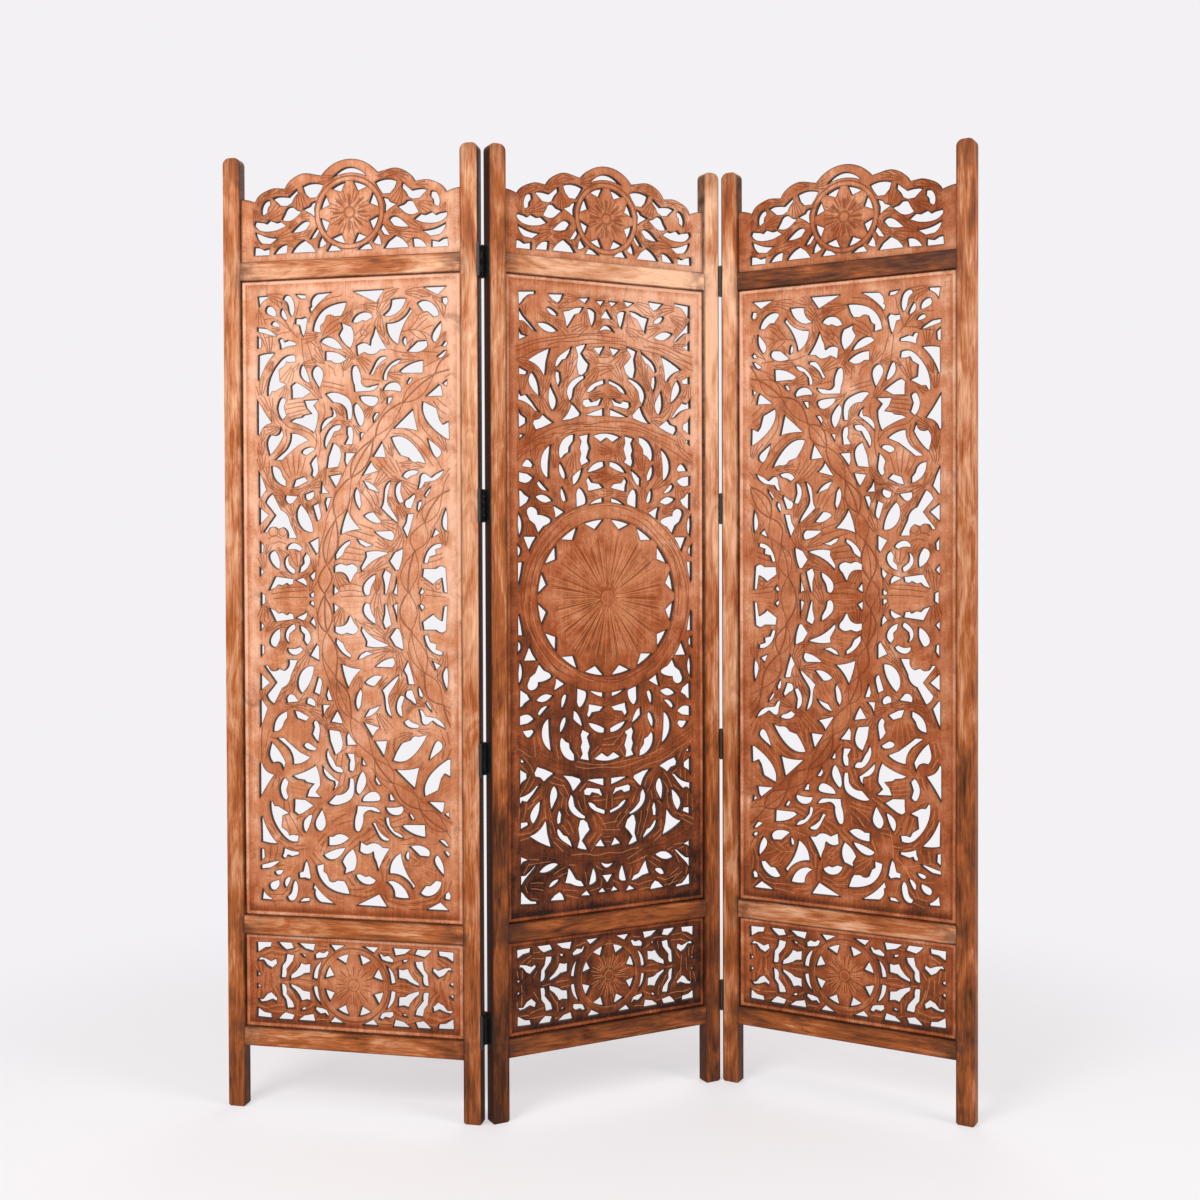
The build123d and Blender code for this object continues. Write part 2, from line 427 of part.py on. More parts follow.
def rosette_faces(rosette, centre, middle, scale_x, scale_z):
    """The ring of rounded triangles between a rosette's petals."""
    count, outer, inner, half_angle = rosette
    step = 360 / count
    faces = []
    for number in range(count):
        angle = (number + 0.5) * step
        points = [Vector(outer, 0).rotate(Axis.Z, angle - half_angle),
                  Vector(outer, 0).rotate(Axis.Z, angle),
                  Vector(outer, 0).rotate(Axis.Z, angle + half_angle),
                  Vector(inner, 0).rotate(Axis.Z, angle)]
        drawn = [(point.X + centre[0], point.Y + centre[1]) for point in points]
        runs = [[drawn[0], drawn[1]], [drawn[2]], [drawn[3]]]
        faces.append(outline_face(runs, middle, scale_x, scale_z))
    return faces


panel_scale = clear_width / drawn_clear_width
main_scale = main_opening / drawn_main_opening
lower_scale = lower_opening / drawn_lower_opening
crest_scale = crest_rise / drawn_crest_rise

side_faces = [outline_face(runs, side_middle, panel_scale, main_scale) for runs in side_upper]
side_faces += [face.mirror(Plane.XZ) for face in side_faces]
side_faces += [outline_face(runs, side_middle, panel_scale, main_scale) for runs in side_on_axis]
side_faces_mirrored = [face.mirror(Plane.YZ) for face in side_faces]

centre_faces = [outline_face(runs, centre_middle, panel_scale, main_scale)
                for runs in centre_quarter]
centre_faces += [face.mirror(Plane.YZ) for face in centre_faces]
centre_faces += [outline_face(runs, centre_middle, panel_scale, main_scale)
                 for runs in centre_on_axis]
centre_faces += [face.mirror(Plane.XZ) for face in centre_faces]
centre_faces += rosette_faces(centre_rosette, centre_middle, centre_middle,
                              panel_scale, main_scale)

lower_faces = [outline_face(runs, lower_drawn_middle, panel_scale, lower_scale)
               for runs in lower_quarter]
lower_faces += [face.mirror(Plane.YZ) for face in lower_faces]
lower_faces += [face.mirror(Plane.XZ) for face in lower_faces]
lower_faces += rosette_faces(lower_rosette, lower_drawn_middle, lower_drawn_middle,
                             panel_scale, lower_scale)

crest_faces = [outline_face(runs, crest_drawn_middle, panel_scale, crest_scale)
               for runs in crest_half]
crest_faces += [face.mirror(Plane.YZ) for face in crest_faces]
crest_faces += [outline_face(runs, crest_drawn_middle, panel_scale, crest_scale)
                for runs in crest_on_axis]
crest_faces += rosette_faces(crest_rosette, crest_rosette_centre, crest_drawn_middle,
                             panel_scale, crest_scale)


# ---------------------------------------------------------------- where everything stands
def turned_about(pivot_y, angle):
    """A turn about a hinge pin that stands at pivot_y in the gap between two leaves."""
    return Location((0, pivot_y, 0)) * Location((0, 0, 0), (0, 0, angle)) * Location((0, -pivot_y, 0))


half_step = Location((half_leaf + half_gap, 0, 0))
half_step_back = Location((-half_leaf - half_gap, 0, 0))


def stand(shift_x, shift_y):
    """Leaf and hinge frames, with the ground's middle moved to the origin."""
    centre = Location((shift_x, shift_y, 0)) * Location((0, 0, 0), (0, 0, centre_turn))
    left_line = centre * half_step_back
    left_link = left_line * turned_about(pin_stand, -left_fold)
    right_line = centre * half_step
    right_link = right_line * turned_about(-pin_stand, -right_fold)
    return {
        "centre": centre,
        "left": left_link * half_step_back,
        "right": right_link * half_step,
        "left_line": left_line,
        "left_link": left_link,
        "right_line": right_line,
        "right_link": right_link,
    }


# The ground that the screen covers, from the rounds of its outermost corners and knuckles.
rough = stand(0, 0)
rounds = []
for name in ("left", "centre", "right"):
    for side in (-1, 1):
        for face in (-1, 1):
            corner = Location((side * (half_leaf - edge_round), face * (leaf_thickness / 2 - edge_round), 0))
            rounds.append(((rough[name] * corner).position, edge_round))
for name in ("left_line", "left_link", "right_line", "right_link"):
    for face in (-1, 1):
        knuckle = Location((0, face * pin_stand, 0))
        rounds.append(((rough[name] * knuckle).position, knuckle_radius))
low_x = min(point.X - radius for point, radius in rounds)
high_x = max(point.X + radius for point, radius in rounds)
low_y = min(point.Y - radius for point, radius in rounds)
high_y = max(point.Y + radius for point, radius in rounds)
frames = stand(-(low_x + high_x) / 2, -(low_y + high_y) / 2)

# A leaf's mid-plane, seen from the front: a sketch there has x along the leaf and y up.
FRONT = Plane((0, 0, 0), x_dir=(1, 0, 0), z_dir=(0, -1, 0)).location


def level_at(frame, height):
    """A level sketch plane at a height in a leaf's or a hinge's frame."""
    return frame * Plane.XY.offset(height).location


def edge_at(frame, x, height, side):
    """A sketch plane on a leaf's edge, facing left or right: x towards the back."""
    return frame * Plane((x, 0, height), x_dir=(0, 1, 0), z_dir=(side, 0, 0)).location


def across(frame):
    """The direction from a leaf's back to its front."""
    return Axis((0, 0, 0), tuple(Plane(frame * FRONT).z_dir))


os.makedirs("parts", exist_ok=True)


# ---------------------------------------------------------------- pieces of a leaf
def make_stile(leaf, name, side, hinged):
    """An upright: a groove for the panels, mortises for the rails, and let-in places for hinges."""
    frame = frames[leaf]
    middle = side * (half_leaf - stile_width / 2)
    inner = side * clear_width / 2
    outer = side * half_leaf
    with BuildPart() as stile:
        with BuildSketch(frame * FRONT) as front:
            with Locations((middle, leaf_height / 2)):
                Rectangle(stile_width, leaf_height)
            fillet(front.vertices().group_by(Axis.Y)[-1], stile_top_round)
            chamfer(front.vertices().group_by(Axis.Y)[0], foot_chamfer)
        extrude(amount=leaf_thickness / 2, both=True)
        faces = stile.faces().sort_by(across(frame))
        fillet(faces[0].edges() + faces[-1].edges(), edge_round)
        with BuildSketch(frame * FRONT):
            top = crest_base + crest_shoulder + panel_play
            bottom = opening_1 - groove_depth
            with Locations((inner, (top + bottom) / 2)):
                Rectangle(2 * groove_depth, top - bottom)
        extrude(amount=panel_thickness / 2 + panel_play, both=True, mode=Mode.SUBTRACT)
        with BuildSketch(frame * FRONT):
            for base in (rail_1, rail_2, rail_3):
                with Locations((inner, base + rail_height / 2)):
                    Rectangle(2 * (tenon_length + joint_fit),
                              rail_height - 2 * groove_depth + 2 * joint_fit)
        extrude(amount=tenon_thickness / 2 + joint_fit, both=True, mode=Mode.SUBTRACT)
        if hinged:
            with BuildSketch(edge_at(frame, outer, 0, side)):
                for height in hinge_heights:
                    with Locations((0, side * height)):
                        Rectangle(leaf_thickness, hinge_length + 2 * recess_play)
            extrude(amount=-plate_recess, mode=Mode.SUBTRACT)
            with BuildSketch(edge_at(frame, outer, 0, side)):
                for height in hinge_heights:
                    for step in (-1, 0, 1):
                        with Locations((0, side * (height + step * screw_spacing))):
                            Circle(screw_radius + screw_fit)
            extrude(amount=-(plate_recess + screw_length + screw_fit), mode=Mode.SUBTRACT)
    stile.part.label = f"{leaf}_{name}"
    export_step(stile.part, f"parts/{leaf}_{name}.step")


def make_rail(leaf, name, base, grooved_below, grooved_above):
    """A cross rail with a tenon at each end and grooves where a panel stands."""
    frame = frames[leaf]
    with BuildPart() as rail:
        with BuildSketch(frame * FRONT):
            with Locations((0, base + rail_height / 2)):
                Rectangle(clear_width, rail_height)
        extrude(amount=leaf_thickness / 2, both=True)
        faces = rail.faces().sort_by(across(frame))
        long_edges = faces[0].edges() + faces[-1].edges()
        fillet(long_edges.filter_by(lambda edge: abs(edge.tangent_at(0.5).Z) < 0.5), edge_round)
        with BuildSketch(frame * FRONT):
            with Locations((0, base + rail_height / 2)):
                Rectangle(clear_width + 2 * tenon_length, rail_height - 2 * groove_depth)
        extrude(amount=tenon_thickness / 2, both=True)
        with BuildSketch(frame * FRONT):
            if grooved_below:
                with Locations((0, base)):
                    Rectangle(clear_width, 2 * groove_depth)
            if grooved_above:
                with Locations((0, base + rail_height)):
                    Rectangle(clear_width, 2 * groove_depth)
        extrude(amount=panel_thickness / 2 + panel_play, both=True, mode=Mode.SUBTRACT)
    rail.part.label = f"{leaf}_{name}"
    export_step(rail.part, f"parts/{leaf}_{name}.step")


def make_panel(leaf, name, middle, height, openings):
    """A pierced board with a raised lip along its opening, held in the frame's grooves."""
    frame = frames[leaf]
    plane = frame * FRONT * Location((0, middle, 0))
    with BuildPart() as panel:
        with BuildSketch(plane):
            Rectangle(clear_width + 2 * tongue, height + 2 * tongue)
            add(openings, mode=Mode.SUBTRACT)
        extrude(amount=panel_thickness / 2, both=True)
        with BuildSketch(plane):
            Rectangle(clear_width - 2 * lip_gap, height - 2 * lip_gap)
            Rectangle(clear_width - 2 * (lip_gap + lip_width), height - 2 * (lip_gap + lip_width),
                      mode=Mode.SUBTRACT)
        extrude(amount=panel_thickness / 2 + lip_rise, both=True)
    panel.part.label = f"{leaf}_{name}"
    export_step(panel.part, f"parts/{leaf}_{name}.step")


def make_crest(leaf, name):
    """The pierced board above the top rail, with its scalloped top edge."""
    plane = frames[leaf] * FRONT * Location((0, crest_base, 0))
    side = clear_width / 2
    board = side + tongue
    with BuildPart() as crest:
        with BuildSketch(plane):
            with BuildLine():
                runs = [[(x * panel_scale, z * crest_scale) for x, z in run] for run in crest_scallops]
                ends = [run[0] for run in runs[1:]] + [(-runs[0][0][0], runs[0][0][1])]
                for run, end in zip(runs, ends):
                    if len(run) == 2:
                        ThreePointArc(run[0], run[1], end)
                    else:
                        Spline(run + [end])
                near, far = ends[-1], runs[0][0]
                rise = (crest_shoulder + near[1]) / 2 + 0.2 * (crest_shoulder - near[1])
                ThreePointArc(near, ((near[0] + side) / 2, rise), (side, crest_shoulder))
                Polyline((side, crest_shoulder), (board, crest_shoulder), (board, -tongue),
                         (-board, -tongue), (-board, crest_shoulder), (-side, crest_shoulder))
                ThreePointArc((-side, crest_shoulder), (-(near[0] + side) / 2, rise), far)
            make_face()
            add(crest_faces, mode=Mode.SUBTRACT)
        extrude(amount=panel_thickness / 2, both=True)
    crest.part.label = f"{leaf}_{name}"
    export_step(crest.part, f"parts/{leaf}_{name}.step")


# ---------------------------------------------------------------- pieces of a hinge
def knuckle_bands(first):
    """Bottom and top of every second knuckle, counted from the hinge's foot."""
    bands = []
    for number in range(first, 5, 2):
        low = number * knuckle_pitch - hinge_length / 2 + knuckle_gap / 2
        high = (number + 1) * knuckle_pitch - hinge_length / 2 - knuckle_gap / 2
        bands.append((low, high))
    return bands


def make_plate(frame, name, side, pin_y, height):
    """A hinge leaf on a stile's edge, with three knuckles on the pin at pin_y."""
    outer = side * (half_gap + plate_recess)
    inner = outer - side * plate_thickness
    towards = 1 if pin_y > 0 else -1
    with BuildPart() as plate:
        with BuildSketch(level_at(frame, height - hinge_length / 2)):
            with Locations(((outer + inner) / 2, 0)):
                Rectangle(plate_thickness, plate_width)
        extrude(amount=hinge_length)
        for low, high in knuckle_bands(0):
            with BuildSketch(level_at(frame, height + low)):
                with Locations(((outer + inner) / 2, (pin_y + towards * plate_width / 2) / 2)):
                    Rectangle(plate_thickness, abs(pin_y) - plate_width / 2)
                with Locations((0, pin_y)):
                    Circle(knuckle_radius)
                    Circle(pin_radius + pin_fit, mode=Mode.SUBTRACT)
            extrude(amount=high - low)
        for step in (-1, 0, 1):
            with BuildSketch(edge_at(frame, inner, height + step * screw_spacing, side)):
                Circle(screw_head_radius + screw_fit)
            with BuildSketch(edge_at(frame, outer, height + step * screw_spacing, side)):
                Circle(screw_radius + screw_fit)
            loft(mode=Mode.SUBTRACT)
    plate.part.label = name
    export_step(plate.part, f"parts/{name}.step")


def make_link(frame, name, height):
    """The hinge's middle leaf, with two knuckles on the front pin and two on the back pin."""
    with BuildPart() as link:
        with BuildSketch(level_at(frame, height - hinge_length / 2)):
            Rectangle(link_thickness, 2 * link_reach)
        extrude(amount=hinge_length)
        for low, high in knuckle_bands(1):
            with BuildSketch(level_at(frame, height + low)):
                Rectangle(link_thickness, 2 * pin_stand)
                with Locations((0, -pin_stand), (0, pin_stand)):
                    Circle(knuckle_radius)
                    Circle(pin_radius + pin_fit, mode=Mode.SUBTRACT)
            extrude(amount=high - low)
    link.part.label = name
    export_step(link.part, f"parts/{name}.step")


def make_pins(frame, name, pin_y):
    """The pins of one hinge line, one per hinge, each headed at both ends."""
    with BuildPart() as pins:
        for height in hinge_heights:
            foot = height - hinge_length / 2 - pin_head_height
            head = height + hinge_length / 2
            with BuildSketch(level_at(frame, foot)):
                with Locations((0, pin_y)):
                    Circle(pin_radius)
            extrude(amount=hinge_length + 2 * pin_head_height)
            for base in (foot, head):
                with BuildSketch(level_at(frame, base)):
                    with Locations((0, pin_y)):
                        Circle(pin_head_radius)
                extrude(amount=pin_head_height)
    pins.part.label = name
    export_step(pins.part, f"parts/{name}.step")


def make_screws(frame, name, side):
    """The countersunk screws of one hinge line into one stile."""
    outer = side * (half_gap + plate_recess)
    inner = outer - side * plate_thickness
    with BuildPart() as screws:
        for height in hinge_heights:
            for step in (-1, 0, 1):
                level = height + step * screw_spacing
                with BuildSketch(edge_at(frame, inner, level, side)):
                    Circle(screw_head_radius)
                with BuildSketch(edge_at(frame, outer, level, side)):
                    Circle(screw_radius)
                loft()
                with BuildSketch(edge_at(frame, outer, level, side)):
                    Circle(screw_radius)
                extrude(amount=screw_length)
    screws.part.label = name
    export_step(screws.part, f"parts/{name}.step")


# ---------------------------------------------------------------- the screen
main_openings = {"left": side_faces, "centre": centre_faces, "right": side_faces_mirrored}
hinged_stiles = {"left": (False, True), "centre": (True, True), "right": (True, False)}

for leaf in ("left", "centre", "right"):
    make_stile(leaf, "stile_left", -1, hinged_stiles[leaf][0])
    make_stile(leaf, "stile_right", 1, hinged_stiles[leaf][1])
    make_rail(leaf, "rail_bottom", rail_1, False, True)
    make_rail(leaf, "rail_middle", rail_2, True, True)
    make_rail(leaf, "rail_top", rail_3, True, True)
    make_panel(leaf, "panel_lower", lower_middle, lower_opening, lower_faces)
    make_panel(leaf, "panel_main", main_middle, main_opening, main_openings[leaf])
    make_crest(leaf, "crest")

# On the left line the link lies along the left leaf, and the back pin carries the fold. On the
# right line it lies along the right leaf, and the front pin carries the fold.
for number, height in enumerate(hinge_heights, start=1):
    make_plate(frames["left_link"], f"hinge_left_{number}_plate_left", -1, -pin_stand, height)
    make_link(frames["left_link"], f"hinge_left_{number}_link", height)
    make_plate(frames["left_line"], f"hinge_left_{number}_plate_right", 1, pin_stand, height)
    make_plate(frames["right_line"], f"hinge_right_{number}_plate_left", -1, -pin_stand, height)
    make_link(frames["right_link"], f"hinge_right_{number}_link", height)
    make_plate(frames["right_link"], f"hinge_right_{number}_plate_right", 1, pin_stand, height)

make_pins(frames["left_link"], "pins_left_front", -pin_stand)
make_pins(frames["left_link"], "pins_left_back", pin_stand)
make_pins(frames["right_link"], "pins_right_front", -pin_stand)
make_pins(frames["right_link"], "pins_right_back", pin_stand)
make_screws(frames["left_link"], "screws_left_line_left", -1)
make_screws(frames["left_line"], "screws_left_line_right", 1)
make_screws(frames["right_line"], "screws_right_line_left", -1)
make_screws(frames["right_link"], "screws_right_line_right", 1)

for name, frame in frames.items():
    place = frame.position
    print(f"{name}: x {place.X:.4f} y {place.Y:.4f} turn {frame.orientation.Z:.3f}")
for name, line, pin_y in (("left back pin", "left_link", pin_stand),
                          ("left front pin", "left_link", -pin_stand),
                          ("right front pin", "right_link", -pin_stand),
                          ("right back pin", "right_link", pin_stand)):
    pivot = (frames[line] * Location((0, pin_y, 0))).position
    print(f"{name}: x {pivot.X:.4f} y {pivot.Y:.4f}")
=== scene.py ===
"""The carved folding screen's finish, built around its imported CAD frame."""

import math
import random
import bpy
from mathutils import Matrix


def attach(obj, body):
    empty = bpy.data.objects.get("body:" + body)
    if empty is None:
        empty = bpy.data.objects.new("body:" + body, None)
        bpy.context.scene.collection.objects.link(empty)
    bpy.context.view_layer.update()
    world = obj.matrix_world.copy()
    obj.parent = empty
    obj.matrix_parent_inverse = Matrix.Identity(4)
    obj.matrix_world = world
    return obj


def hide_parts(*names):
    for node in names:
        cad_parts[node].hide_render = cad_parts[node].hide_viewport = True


bl_info = {
    "name": "Carved Jali Screen",
    "version": (1, 0, 0),
    "blender": (4, 5, 0),
    "location": "3D View > Sidebar > Jali Screen",
    "description": "Carves the pierced boards of a folding screen and finishes its wood and hinges",
    "category": "Object",
}

import bpy
import numpy as np
from mathutils import Matrix, Vector, kdtree
from mathutils.geometry import delaunay_2d_cdt

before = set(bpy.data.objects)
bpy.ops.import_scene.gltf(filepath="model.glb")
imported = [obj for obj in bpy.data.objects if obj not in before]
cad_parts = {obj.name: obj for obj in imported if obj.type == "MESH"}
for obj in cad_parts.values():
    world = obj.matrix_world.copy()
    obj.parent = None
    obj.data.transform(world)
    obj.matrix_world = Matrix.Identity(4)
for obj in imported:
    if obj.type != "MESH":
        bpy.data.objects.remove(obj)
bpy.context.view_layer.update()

MM = 0.001
TINY = 1e-9
LEAVES = ("left", "centre", "right")

# The boards, in the leaf's own millimetres
HALF_BOARD = 4.5                 # half of a board's thickness
MAIN_MIDDLE = 982.0              # height of the tall board's middle
LOWER_MIDDLE = 246.0             # height of the low board's middle
CREST_MIDDLE = 1714.0            # height of the middle of the crest's flower


# ---------------- a leaf's own axes
class Leaf:
    """A leaf's axes: x along it, y towards its back and z up, read from its middle rail."""

    def __init__(self, name):
        self.name = name
        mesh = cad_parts[f"{name}_rail_middle"].data
        upright = [p for p in mesh.polygons if abs(p.normal.z) < 0.1]
        widest = max(upright, key=lambda p: p.area)
        back = Vector((widest.normal.x, widest.normal.y, 0)).normalized()
        if back.y < 0:
            back = -back
        self.back = np.array((back.x, back.y))
        self.along = np.array((back.y, -back.x))
        flat = np.array([v.co[:2] for v in mesh.vertices], float)
        x, y = flat @ self.along, flat @ self.back
        self.middle = self.along * (x.min() + x.max()) / 2 + self.back * (y.min() + y.max()) / 2
        self.turn = math.atan2(self.along[1], self.along[0])

    def from_row(self, points):
        """Row-frame metres to the leaf's own millimetres."""
        points = np.asarray(points, float)
        flat = points[:, :2] - self.middle
        return np.stack([flat @ self.along, flat @ self.back, points[:, 2]], 1) / MM

    def to_row(self, points):
        """The leaf's own millimetres to row-frame metres."""
        points = np.asarray(points, float) * MM
        flat = self.middle + points[:, :1] * self.along + points[:, 1:2] * self.back
        return np.concatenate([flat, points[:, 2:3]], 1)


LEAF = {name: Leaf(name) for name in LEAVES}


# ---------------- shader maths
def forward(operation):
    """An operator of two values, in their order."""
    return lambda self, other: self.maths(operation, self, other)


def reflected(operation):
    """An operator whose second value is this one."""
    return lambda self, other: self.maths(operation, other, self)


class Value:
    """A socket in a material. Sums and products of values add Math nodes."""

    def __init__(self, finish, socket):
        self.finish, self.socket = finish, socket

    def maths(self, operation, *values):
        return self.finish.node("ShaderNodeMath", {"operation": operation}, *values)

    __add__, __radd__ = forward("ADD"), reflected("ADD")
    __sub__, __rsub__ = forward("SUBTRACT"), reflected("SUBTRACT")
    __mul__, __rmul__ = forward("MULTIPLY"), reflected("MULTIPLY")
    __truediv__, __rtruediv__ = forward("DIVIDE"), reflected("DIVIDE")
    __pow__, __rpow__ = forward("POWER"), reflected("POWER")

    def __abs__(self):
        return self.maths("ABSOLUTE", self)

    def clamp(self):
        return self.finish.node("ShaderNodeClamp", {}, self, 0.0, 1.0)

    def rise(self, start, end, low=0.0, high=1.0, smooth=False):
        """Runs from low to high while this value goes from start to end."""
        settings = {"interpolation_type": "SMOOTHSTEP"} if smooth else {}
        return self.finish.node("ShaderNodeMapRange", settings, self, start, end, low, high)

    def ramp(self, *stops):
        """A grey curve through (place, level) stops."""
        listed = [(place, (level, level, level, 1.0)) for place, level in stops]
        return self.finish.node("ShaderNodeValToRGB", {"stops": listed}, self)

    def swing(self, reach):
        """A noise's swing to and fro, from its middle value."""
        return (self - 0.5) * reach


class Finish:
    """One procedural material and the nodes that make it."""

    def __init__(self, name, **constants):
        self.material = bpy.data.materials.new(name)
        self.material.use_nodes = True
        self.tree = self.material.node_tree
        self.shader = self.tree.nodes["Principled BSDF"]
        for socket, value in constants.items():
            self.shader.inputs[socket.replace("_", " ")].default_value = value

    def feed(self, slot, value):
        """Links a value to a slot, or sets the slot to a constant."""
        if isinstance(value, Value):
            self.tree.links.new(value.socket, slot)
        else:
            slot.default_value = value

    def node(self, kind, settings, *values, output=0, **named):
        """Adds a node: its settings first, then its sockets' values or links, in order or by name."""
        node = self.tree.nodes.new(kind)
        for key, value in settings.items():
            if key != "stops":
                setattr(node, key, value)
                continue
            stops = node.color_ramp.elements
            while len(stops) < len(value):
                stops.new(0.5)
            for stop, (place, colour) in zip(stops, value):
                stop.position, stop.color = place, colour
        for slot, value in zip(node.inputs, values):
            self.feed(slot, value)
        for key, value in named.items():
            label = key.replace("_", " ")
            self.feed(next(s for s in node.inputs if s.enabled and s.name == label), value)
        return Value(self, node.outputs[output])

    def mix(self, factor, low, high):
        """A colour between two colours."""
        node = self.tree.nodes.new("ShaderNodeMix")
        node.data_type = "RGBA"
        sockets = {"Factor": factor, "A": low, "B": high}
        for slot in (s for s in node.inputs if s.enabled):
            self.feed(slot, sockets[slot.name])
        return Value(self, next(s for s in node.outputs if s.enabled))

    def vector(self, operation, *values, output=0):
        return self.node("ShaderNodeVectorMath", {"operation": operation}, *values, output=output)

    def noise(self, place, scale, detail=3.0, rough=0.5, distortion=0.0):
        return self.node("ShaderNodeTexNoise", {"noise_dimensions": "3D"}, Vector=place, Scale=scale,
                         Detail=detail, Roughness=rough, Distortion=distortion)

    def attribute(self, name):
        return self.node("ShaderNodeAttribute", {"attribute_name": name}, output="Fac")

    def place(self):
        """This point in the row frame, in metres."""
        return self.node("ShaderNodeTexCoord", {}, output="Object")

    def on_leaf(self, leaf):
        """This point in the leaf's own axes, in metres: x along it, y to its back, z up."""
        moved = self.vector("SUBTRACT", self.place(), (*leaf.middle, 0.0))
        return self.node("ShaderNodeVectorRotate", {"rotation_type": "Z_AXIS"}, Vector=moved,
                         Angle=-leaf.turn)

    def parts(self, place, names):
        """The named parts of a place."""
        return [self.node("ShaderNodeSeparateXYZ", {}, place, output=name) for name in names]

    def finish(self, colour, roughness=None, height=None, depth=0.0002):
        """Feeds the shader's varying sockets."""
        self.feed(self.shader.inputs["Base Color"], colour)
        if roughness:
            self.feed(self.shader.inputs["Roughness"], roughness)
        if height:
            bump = self.node("ShaderNodeBump", {}, Distance=depth, Strength=1.0, Height=height)
            self.feed(self.shader.inputs["Normal"], bump)
        return self.material


def rgba(colour):
    return (*colour[:3], 1.0)


def dimmed(colour, share, more=0.0):
    """A colour times a share, plus a little grey."""
    return rgba([c * share + more for c in colour])


# ---------------- what a user would change
def colour_of(name, description, default):
    return bpy.props.FloatVectorProperty(name=name, description=description, default=default, size=3,
                                         subtype="COLOR", min=0.0, max=1.0)


def share_of(name, description, default):
    return bpy.props.FloatProperty(name=name, description=description, default=default,
                                   subtype="FACTOR", min=0.0, max=1.0)


# A leaf end's paleness: partly fading and partly painted light from above
def fade_and_light_of(leaf, end, default):
    return share_of(f"{leaf.title()} leaf's {end}", f"Fading of the {leaf} leaf's wood at its {end}", default)


def length_of(name, description, default, low, high):
    return bpy.props.FloatProperty(name=name, description=description, default=default,
                                   unit="LENGTH", min=low, max=high)


class JaliFadeAndLight(bpy.types.PropertyGroup):
    """How pale the wood of each leaf is at its top and at its foot: partly faded by the sun and partly
    painted light and sheen from above.
    """

    left_top: fade_and_light_of("left", "top", 0.85)
    left_foot: fade_and_light_of("left", "foot", 0.44)
    centre_top: fade_and_light_of("centre", "top", 0.80)
    centre_foot: fade_and_light_of("centre", "foot", 0.20)
    right_top: fade_and_light_of("right", "top", 0.73)
    right_foot: fade_and_light_of("right", "foot", 0.36)


class JaliTimber(bpy.types.PropertyGroup):
    """Colours and grain of the frame's wood."""

    # the palest frame colour, where the wood is faded and the painted light from above is brightest
    faded_and_lit: colour_of("Faded frame", "Colour of the frame's wood where it is faded", (0.87, 0.51, 0.325))
    colour: colour_of("Frame colour", "Colour of the frame's oiled wood", (0.39, 0.108, 0.028))
    # the streak colour also paints the shade along the frame's edges
    streak: colour_of("Streak colour", "Colour of the dark grain and of the stain in the joints",
                      (0.055, 0.017, 0.008))
    grain_width: length_of("Grain width", "Width of a grain streak", 0.0065, 0.001, 0.05)
    smear: share_of("Smears", "Strength of the dark smears beside the joints", 0.75)


class JaliCarving(bpy.types.PropertyGroup):
    """Cuts of the carver's tools and colours of the carved boards."""

    # the palest board colour, where the wood is faded and the painted light from above is brightest
    faded_and_lit: colour_of("Faded board", "Colour of the carved boards where they are faded", (0.80, 0.45, 0.30))
    colour: colour_of("Board colour", "Colour of the carved boards' stain", (0.345, 0.086, 0.026))
    # the deep colour also paints the shade round the openings
    deep: colour_of("Deep colour", "Colour of the darkest parts of the stain", (0.026, 0.009, 0.006))
    burnt: colour_of("Burnt colour", "Colour of the sawn walls and rims of the openings",
                     (0.042, 0.017, 0.010))
    line: colour_of("Cut colour", "Colour that the stain has in a cut", (0.15, 0.038, 0.014))
    bare: colour_of("Bare colour", "Colour of the wood where a cut goes through the stain",
                    (0.70, 0.30, 0.12))
    cut_width: length_of("Cut width", "Width of a V cut", 0.0028, 0.0005, 0.01)
    cut_depth: length_of("Cut depth", "Depth of a V cut", 0.0009, 0.0001, 0.003)
    eased: length_of("Eased edge", "How far the edges of the openings are eased", 0.0012, 0.0001, 0.004)


class JaliHinges(bpy.types.PropertyGroup):
    """Colours of the hinges and their pins."""

    paint: colour_of("Hinge paint", "Colour of the painted hinge plates", (0.012, 0.011, 0.011))
    steel: colour_of("Pin colour", "Colour of the pins' and screws' worn steel", (0.10, 0.095, 0.09))


class JaliStage(bpy.types.PropertyGroup):
    """The floor and lamps round the screen."""

    floor: colour_of("Floor colour", "Colour of the floor and the backdrop", (0.896, 0.880, 0.905))
    lamp: bpy.props.FloatProperty(name="Lamp power", description="Power of the main soft lamp",
                                  default=95.0, unit="POWER", min=1.0, max=2000.0)
    air: bpy.props.FloatProperty(name="Air light", description="Strength of the light from all round",
                                 default=0.42, min=0.0, max=2.0)


# ---------------- outlines of the pierced boards
MERGE = 50                       # steps to the millimetre; points on one step are one point
OFF_PLANE = 0.02                 # mm that the corners of a flat face may lie off its plane


def lone_edges(faces):
    """The directed edges that only one of the faces has."""
    once = {}
    for face in faces:
        for a, b in zip(face, face[1:] + face[:1]):
            if a == b:
                continue
            if (b, a) in once:
                del once[(b, a)]
            else:
                once[(a, b)] = True
    return list(once)


